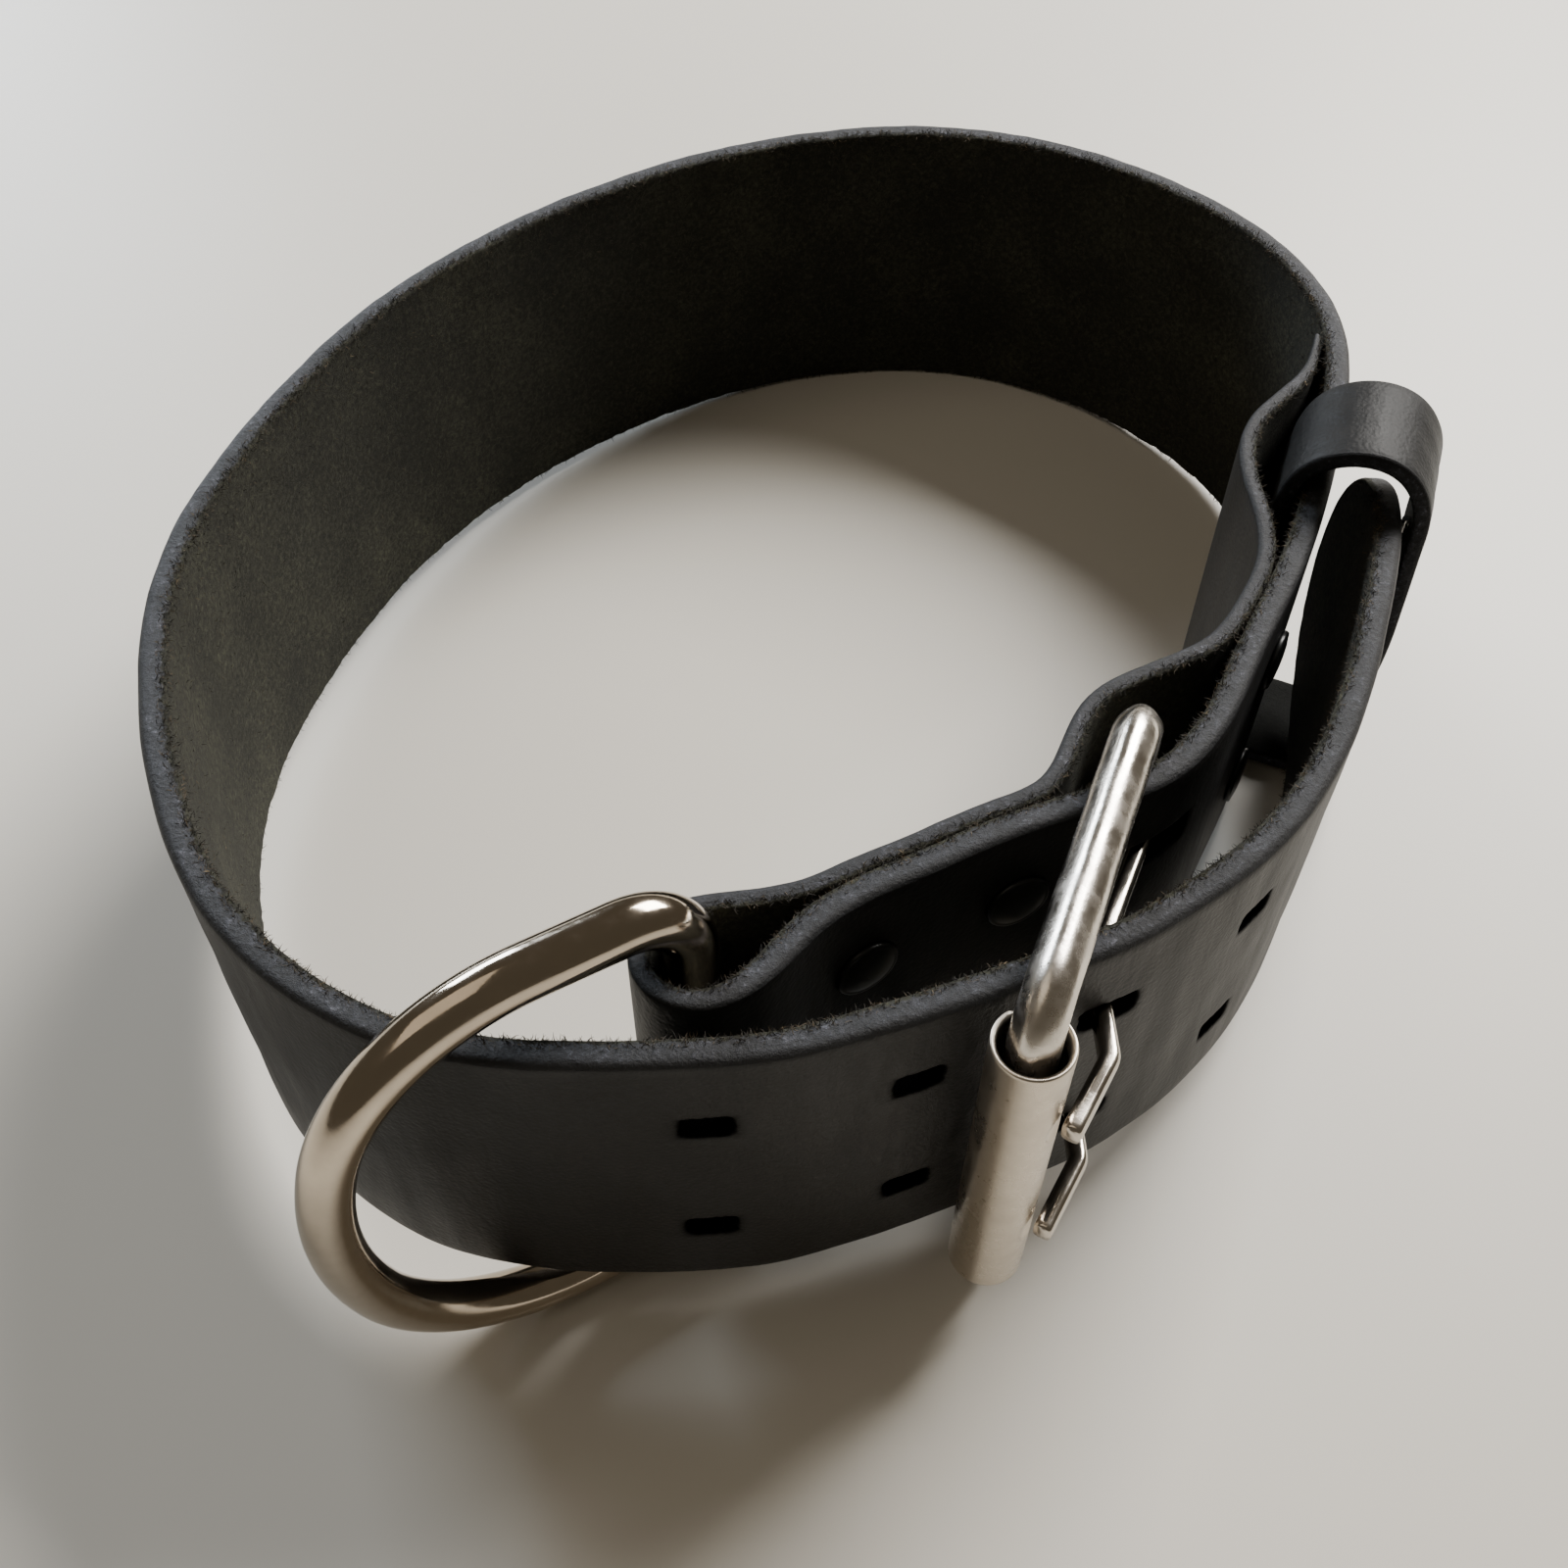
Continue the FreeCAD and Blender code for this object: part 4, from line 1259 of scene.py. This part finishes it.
    # relief: pores and fine creases, fibrous edge, nap
    pores = node(tree, "ShaderNodeTexVoronoi", {"Scale": per_metre(0.55), "Randomness": 1.0,
                 "feature": "SMOOTH_F1"}, {"Vector": place}).outputs["Distance"]
    crease_place = node(tree, "ShaderNodeMapping", {"Rotation": (0.0, 0.0, math.radians(12.0)),
                        "Scale": (1.0, 0.40, 0.0)}, {"Vector": hide}).outputs[0]
    crease = node(tree, "ShaderNodeTexNoise", {"Scale": per_metre(1.6), "Detail": 6.0,
                  "Roughness": 0.72, "Distortion": 0.5}, {"Vector": crease_place}).outputs["Fac"]
    from_bend = node(tree, "ShaderNodeMath", {"operation": "SUBTRACT", 1: BEND_MIDDLE * MM},
                     {0: split[0]}).outputs[0]
    from_bend = node(tree, "ShaderNodeMath", {"operation": "ABSOLUTE"}, {0: from_bend}).outputs[0]
    flexed = node(tree, "ShaderNodeMapRange", {"interpolation_type": "SMOOTHSTEP",
                  "From Min": BEND_REACH * MM, "From Max": 0.25 * BEND_REACH * MM,
                  "To Min": 0.55, "To Max": 1.5}, {"Value": from_bend}).outputs[0]
    crease = node(tree, "ShaderNodeMath", {"operation": "MULTIPLY"}, {0: crease, 1: flexed}).outputs[0]
    grain_high = node(tree, "ShaderNodeMath", {"operation": "MULTIPLY_ADD", 1: 0.32},
                      {0: pores, 2: crease}).outputs[0]
    high = node(tree, "ShaderNodeMix", {"data_type": "FLOAT"},
                {0: edge, 2: grain_high, 3: dust_and_sheen}).outputs[0]
    high = node(tree, "ShaderNodeMix", {"data_type": "FLOAT"},
                {0: flesh, 2: high, 3: flesh_mix}).outputs[0]
    deep = node(tree, "ShaderNodeMath", {"operation": "MAXIMUM"}, {0: edge, 1: flesh}).outputs[0]
    strength = node(tree, "ShaderNodeMapRange", {"From Min": 0.0, "From Max": 1.0,
                    "To Min": 0.55, "To Max": 0.8}, {"Value": deep}).outputs[0]
    relief = node(tree, "ShaderNodeBump", {"Distance": 0.35 * MM},
                  {"Height": high, "Strength": strength}).outputs[0]
    finish_material(tree, {"Base Color": base, "Roughness": rough, "Normal": relief,
                           "Specular IOR Level": gloss}, {"IOR": 1.5})
    return material


def loose_fibre():
    """Raised collagen fibre, dry and matt, paler where the dye has worn off."""
    material, tree = new_material("loose_leather_fibre")
    place = node(tree, "ShaderNodeTexCoord").outputs["Object"]
    patch = node(tree, "ShaderNodeTexNoise", {"Scale": per_metre(1.4), "Detail": 2.0},
                 {"Vector": place}).outputs["Fac"]
    tone = node(tree, "ShaderNodeValToRGB", {"stops": [
        (0.35, colour("1a1815")), (0.52, colour("37322a")), (0.66, colour("5b4f3d")),
        (0.80, colour("8c7c60"))]}, {0: patch}).outputs[0]
    finish_material(tree, {"Base Color": tone}, {"Roughness": 0.9, "IOR": 1.5})
    return material


def nickel_plate(name, tone, rough_low, rough_high, pit_size, pit_depth, scratch_depth):
    """Nickel plating on steel: warm grey mirror, hazed where it has rubbed, with fine
    scratches that run with the wire."""
    material, tree = new_material(name)
    place = node(tree, "ShaderNodeTexCoord").outputs["Object"]
    wire = node(tree, "ShaderNodeAttribute", {"attribute_name": "wire"}).outputs["Vector"]
    haze = node(tree, "ShaderNodeTexNoise", {"Scale": per_metre(4.5), "Detail": 5.0,
                "Roughness": 0.65}, {"Vector": place}).outputs["Fac"]
    rough = node(tree, "ShaderNodeMapRange", {"From Min": 0.35, "From Max": 0.70,
                 "To Min": rough_low, "To Max": rough_high}, {"Value": haze}).outputs[0]
    tint = node(tree, "ShaderNodeValToRGB", {"stops": [
        (0.30, tone), (0.75, tuple(c * 0.86 for c in tone[:3]) + (1.0,))]}, {0: haze}).outputs[0]
    pits = node(tree, "ShaderNodeTexNoise", {"Scale": per_metre(pit_size), "Detail": 4.0,
                "Roughness": 0.6}, {"Vector": place}).outputs["Fac"]
    drawn = node(tree, "ShaderNodeMapping", {"Scale": (90.0, 2.2, 1.0)}, {"Vector": wire}).outputs[0]
    lines = node(tree, "ShaderNodeTexNoise", {"Scale": 5.0, "Detail": 6.0, "Roughness": 0.7},
                 {"Vector": drawn}).outputs["Fac"]
    relief = node(tree, "ShaderNodeBump", {"Distance": pit_depth * MM, "Strength": 1.0},
                  {"Height": pits}).outputs[0]
    relief = node(tree, "ShaderNodeBump", {"Distance": scratch_depth * MM, "Strength": 1.0},
                  {"Height": lines, "Normal": relief}).outputs[0]
    finish_material(tree, {"Base Color": tint, "Roughness": rough, "Normal": relief},
                    {"Metallic": 1.0})
    return material


def black_enamel():
    """Stove-enamelled brass caps, glossy black, rubbed thin in patches."""
    material, tree = new_material("black_enamelled_cap")
    place = node(tree, "ShaderNodeTexCoord").outputs["Object"]
    wear = node(tree, "ShaderNodeTexNoise", {"Scale": per_metre(1.6), "Detail": 5.0},
                {"Vector": place}).outputs["Fac"]
    tone = node(tree, "ShaderNodeValToRGB", {"stops": [
        (0.45, colour("0c0d0d")), (0.80, colour("1d1f1e"))]}, {0: wear}).outputs[0]
    rough = node(tree, "ShaderNodeMapRange", {"To Min": 0.22, "To Max": 0.42},
                 {"Value": wear}).outputs[0]
    relief = node(tree, "ShaderNodeBump", {"Distance": 0.02 * MM, "Strength": 0.5},
                  {"Height": wear}).outputs[0]
    finish_material(tree, {"Base Color": tone, "Roughness": rough, "Normal": relief},
                    {"IOR": 1.5})
    return material


def table_laminate():
    """Pale warm laminate with a soft satin lacquer."""
    material, tree = new_material("pale_table_laminate")
    place = node(tree, "ShaderNodeTexCoord").outputs["Object"]
    cloud = node(tree, "ShaderNodeTexNoise", {"Scale": 3.0, "Detail": 3.0}, {"Vector": place}).outputs["Fac"]
    tone = node(tree, "ShaderNodeValToRGB", {"stops": [
        (0.3, colour("d8d4ca")), (0.7, colour("dedad1"))]}, {0: cloud}).outputs[0]
    finish_material(tree, {"Base Color": tone}, {"Roughness": 0.42, "IOR": 1.45})
    return material


# ---- Table, light and camera -------------------------------------------------------------


def make_table():
    half = 2.5
    mesh = bpy.data.meshes.new("table")
    mesh.from_pydata([(-half, -half, 0), (half, -half, 0), (half, half, 0), (-half, half, 0)],
                     [], [(0, 1, 2, 3)])
    mesh.materials.append(table_laminate())
    table = bpy.data.objects.new("table", mesh)
    bpy.context.scene.collection.objects.link(table)
    return table


def soft_light(name, spot, size, power, tone):
    """Square soft box aimed at the collar."""
    light = bpy.data.lights.new(name, "AREA")
    light.shape = "RECTANGLE"
    light.size, light.size_y = size
    light.energy = power
    light.color = colour(tone)[:3]
    lamp = bpy.data.objects.new(name, light)
    lamp.location = spot
    lamp.rotation_euler = (-Vector(spot)).to_track_quat("-Z", "Y").to_euler()
    bpy.context.scene.collection.objects.link(lamp)
    return lamp


def make_world(tone, strength):
    world = bpy.data.worlds.new("room")
    bpy.context.scene.world = world
    world.use_nodes = True
    world.node_tree.nodes.clear()
    room = node(world.node_tree, "ShaderNodeBackground", {"Color": colour(tone), "Strength": strength})
    node(world.node_tree, "ShaderNodeOutputWorld", {}, {"Surface": room.outputs[0]})


CAMERA_SPOT = (-1.5, -179.3, 191.9)
CAMERA_DIP = 49.58
CAMERA_ROLL = 0.64
CAMERA_LENS = 36.85


def make_camera():
    """Looks down into the collar from the front, as someone bending over the table."""
    dip = math.radians(CAMERA_DIP)
    roll = math.radians(CAMERA_ROLL)
    ahead = np.array([0.0, math.cos(dip), -math.sin(dip)])
    up = np.array([0.0, math.sin(dip), math.cos(dip)])
    right = np.array([1.0, 0.0, 0.0])
    right_rolled = right * math.cos(roll) + up * math.sin(roll)
    up_rolled = up * math.cos(roll) - right * math.sin(roll)
    axes = tilted(np.array([right_rolled, up_rolled, -ahead]))
    data = bpy.data.cameras.new("camera")
    data.lens = CAMERA_LENS
    data.sensor_width = 36.0
    data.clip_start = 0.01
    camera = bpy.data.objects.new("camera", data)
    turn = Matrix([list(axes[:, i]) for i in range(3)]).to_4x4()
    camera.matrix_world = Matrix.Translation(Vector(set_down(CAMERA_SPOT))) @ turn
    bpy.context.scene.collection.objects.link(camera)
    bpy.context.scene.camera = camera


# ---- Putting it together -----------------------------------------------------------------


def main():
    make_camera()
    make_table()
    make_world("cdbfa8", 0.16)
    soft_light("window", (0.80, 1.02, 1.08), (0.9, 0.75), 64.0, "fffcf8")
    soft_light("far_window", (-1.45, 2.1, 0.95), (1.0, 0.9), 62.0, "e8f3ff")
    soft_light("ceiling", (-0.9, -0.2, 1.7), (1.4, 1.4), 4.5, "fff1dc")

    strap_leather = bridle_leather("black_bridle_leather", 0.75, 0.0)
    # the keeper's copy paints its flesh side, inside the loop, 90% towards near-black shade
    keeper_leather = bridle_leather("black_keeper_leather", 0.30, 0.9)
    fibre = loose_fibre()
    drawn_nickel = nickel_plate("polished_nickel_wire", colour("c9bcab"), 0.07, 0.20, 2.5, 0.012, 0.002)
    cast_nickel = nickel_plate("worn_cast_nickel", colour("e6dfd5"), 0.16, 0.36, 1.0, 0.030, 0.003)
    satin_nickel = nickel_plate("satin_nickel_sheet", colour("d6ccbe"), 0.24, 0.40, 0.8, 0.010, 0.004)
    stamped_nickel = nickel_plate("stamped_nickel_bar", colour("d9d1c6"), 0.12, 0.28, 0.9, 0.012, 0.003)
    staple_steel = nickel_plate("staple_steel_wire", colour("c9c8c4"), 0.2, 0.35, 0.6, 0.006, 0.0)
    enamel = black_enamel()

    strap = make_strap(strap_leather)
    shape = fibre_shape()
    tree = fibre_tree()
    edge_fibres = grown("strap_edge_fibres", strap, tree, {
        "Per Square Metre": 1.3e7, "Where": "fuzz_edge", "Shortest": 0.25, "Longest": 0.9,
        "Lean": 1.2, "Fibre": shape, "Material": fibre, "Seed": 3})
    nap_fibres = grown("strap_nap_fibres", strap, tree, {
        "Per Square Metre": 1.0e6, "Where": "fuzz_nap", "Shortest": 0.2, "Longest": 0.7,
        "Lean": 1.5, "Fibre": shape, "Material": fibre, "Seed": 9})
    for piece in (strap, edge_fibres, nap_fibres):
        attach(piece, "strap")
    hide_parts("main_strap")

    keeper = make_keeper(keeper_leather)
    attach(keeper, "keeper")
    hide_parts("keeper_loop")

    ring = make_ring(drawn_nickel)
    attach(ring, "ring")
    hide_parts("d_ring")

    buckle = make_frame(cast_nickel)
    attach(buckle, "buckle")
    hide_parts("buckle_frame")

    roller = make_roller(satin_nickel)
    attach(roller, "roller")
    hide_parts("buckle_roller")

    for level, row in zip(("upper", "lower"), ROWS):
        prong = make_prong("nickel_prong_" + level, row, stamped_nickel)
        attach(prong, level + "_prong")
        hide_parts("prong_" + level)

    caps, backs = rivet_sites()
    setting = rivet_tree()
    cap_shape = turned_shape("cap_shape", cap_outline(CAP_RADIUS, CAP_HEIGHT))
    back_shape = turned_shape("back_cap_shape", cap_outline(BACK_CAP_RADIUS, BACK_CAP_HEIGHT))
    for name, sites, pressed, nodes in (("rivet_caps", caps, cap_shape, "rivet_"),
                                        ("rivet_back_caps", backs, back_shape, "rivet_back_")):
        rivets = make_rivets(name, sites, pressed, setting, enamel)
        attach(rivets, "strap")
        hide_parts(*[nodes + place + "_" + level for place in ("ring", "buckle", "keeper")
                              for level in ("upper", "lower")])

    for helper in (shape, cap_shape, back_shape):
        bpy.data.objects.remove(helper)

    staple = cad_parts["keeper_staple"]
    staple.data.materials.clear()
    staple.data.materials.append(staple_steel)


main()
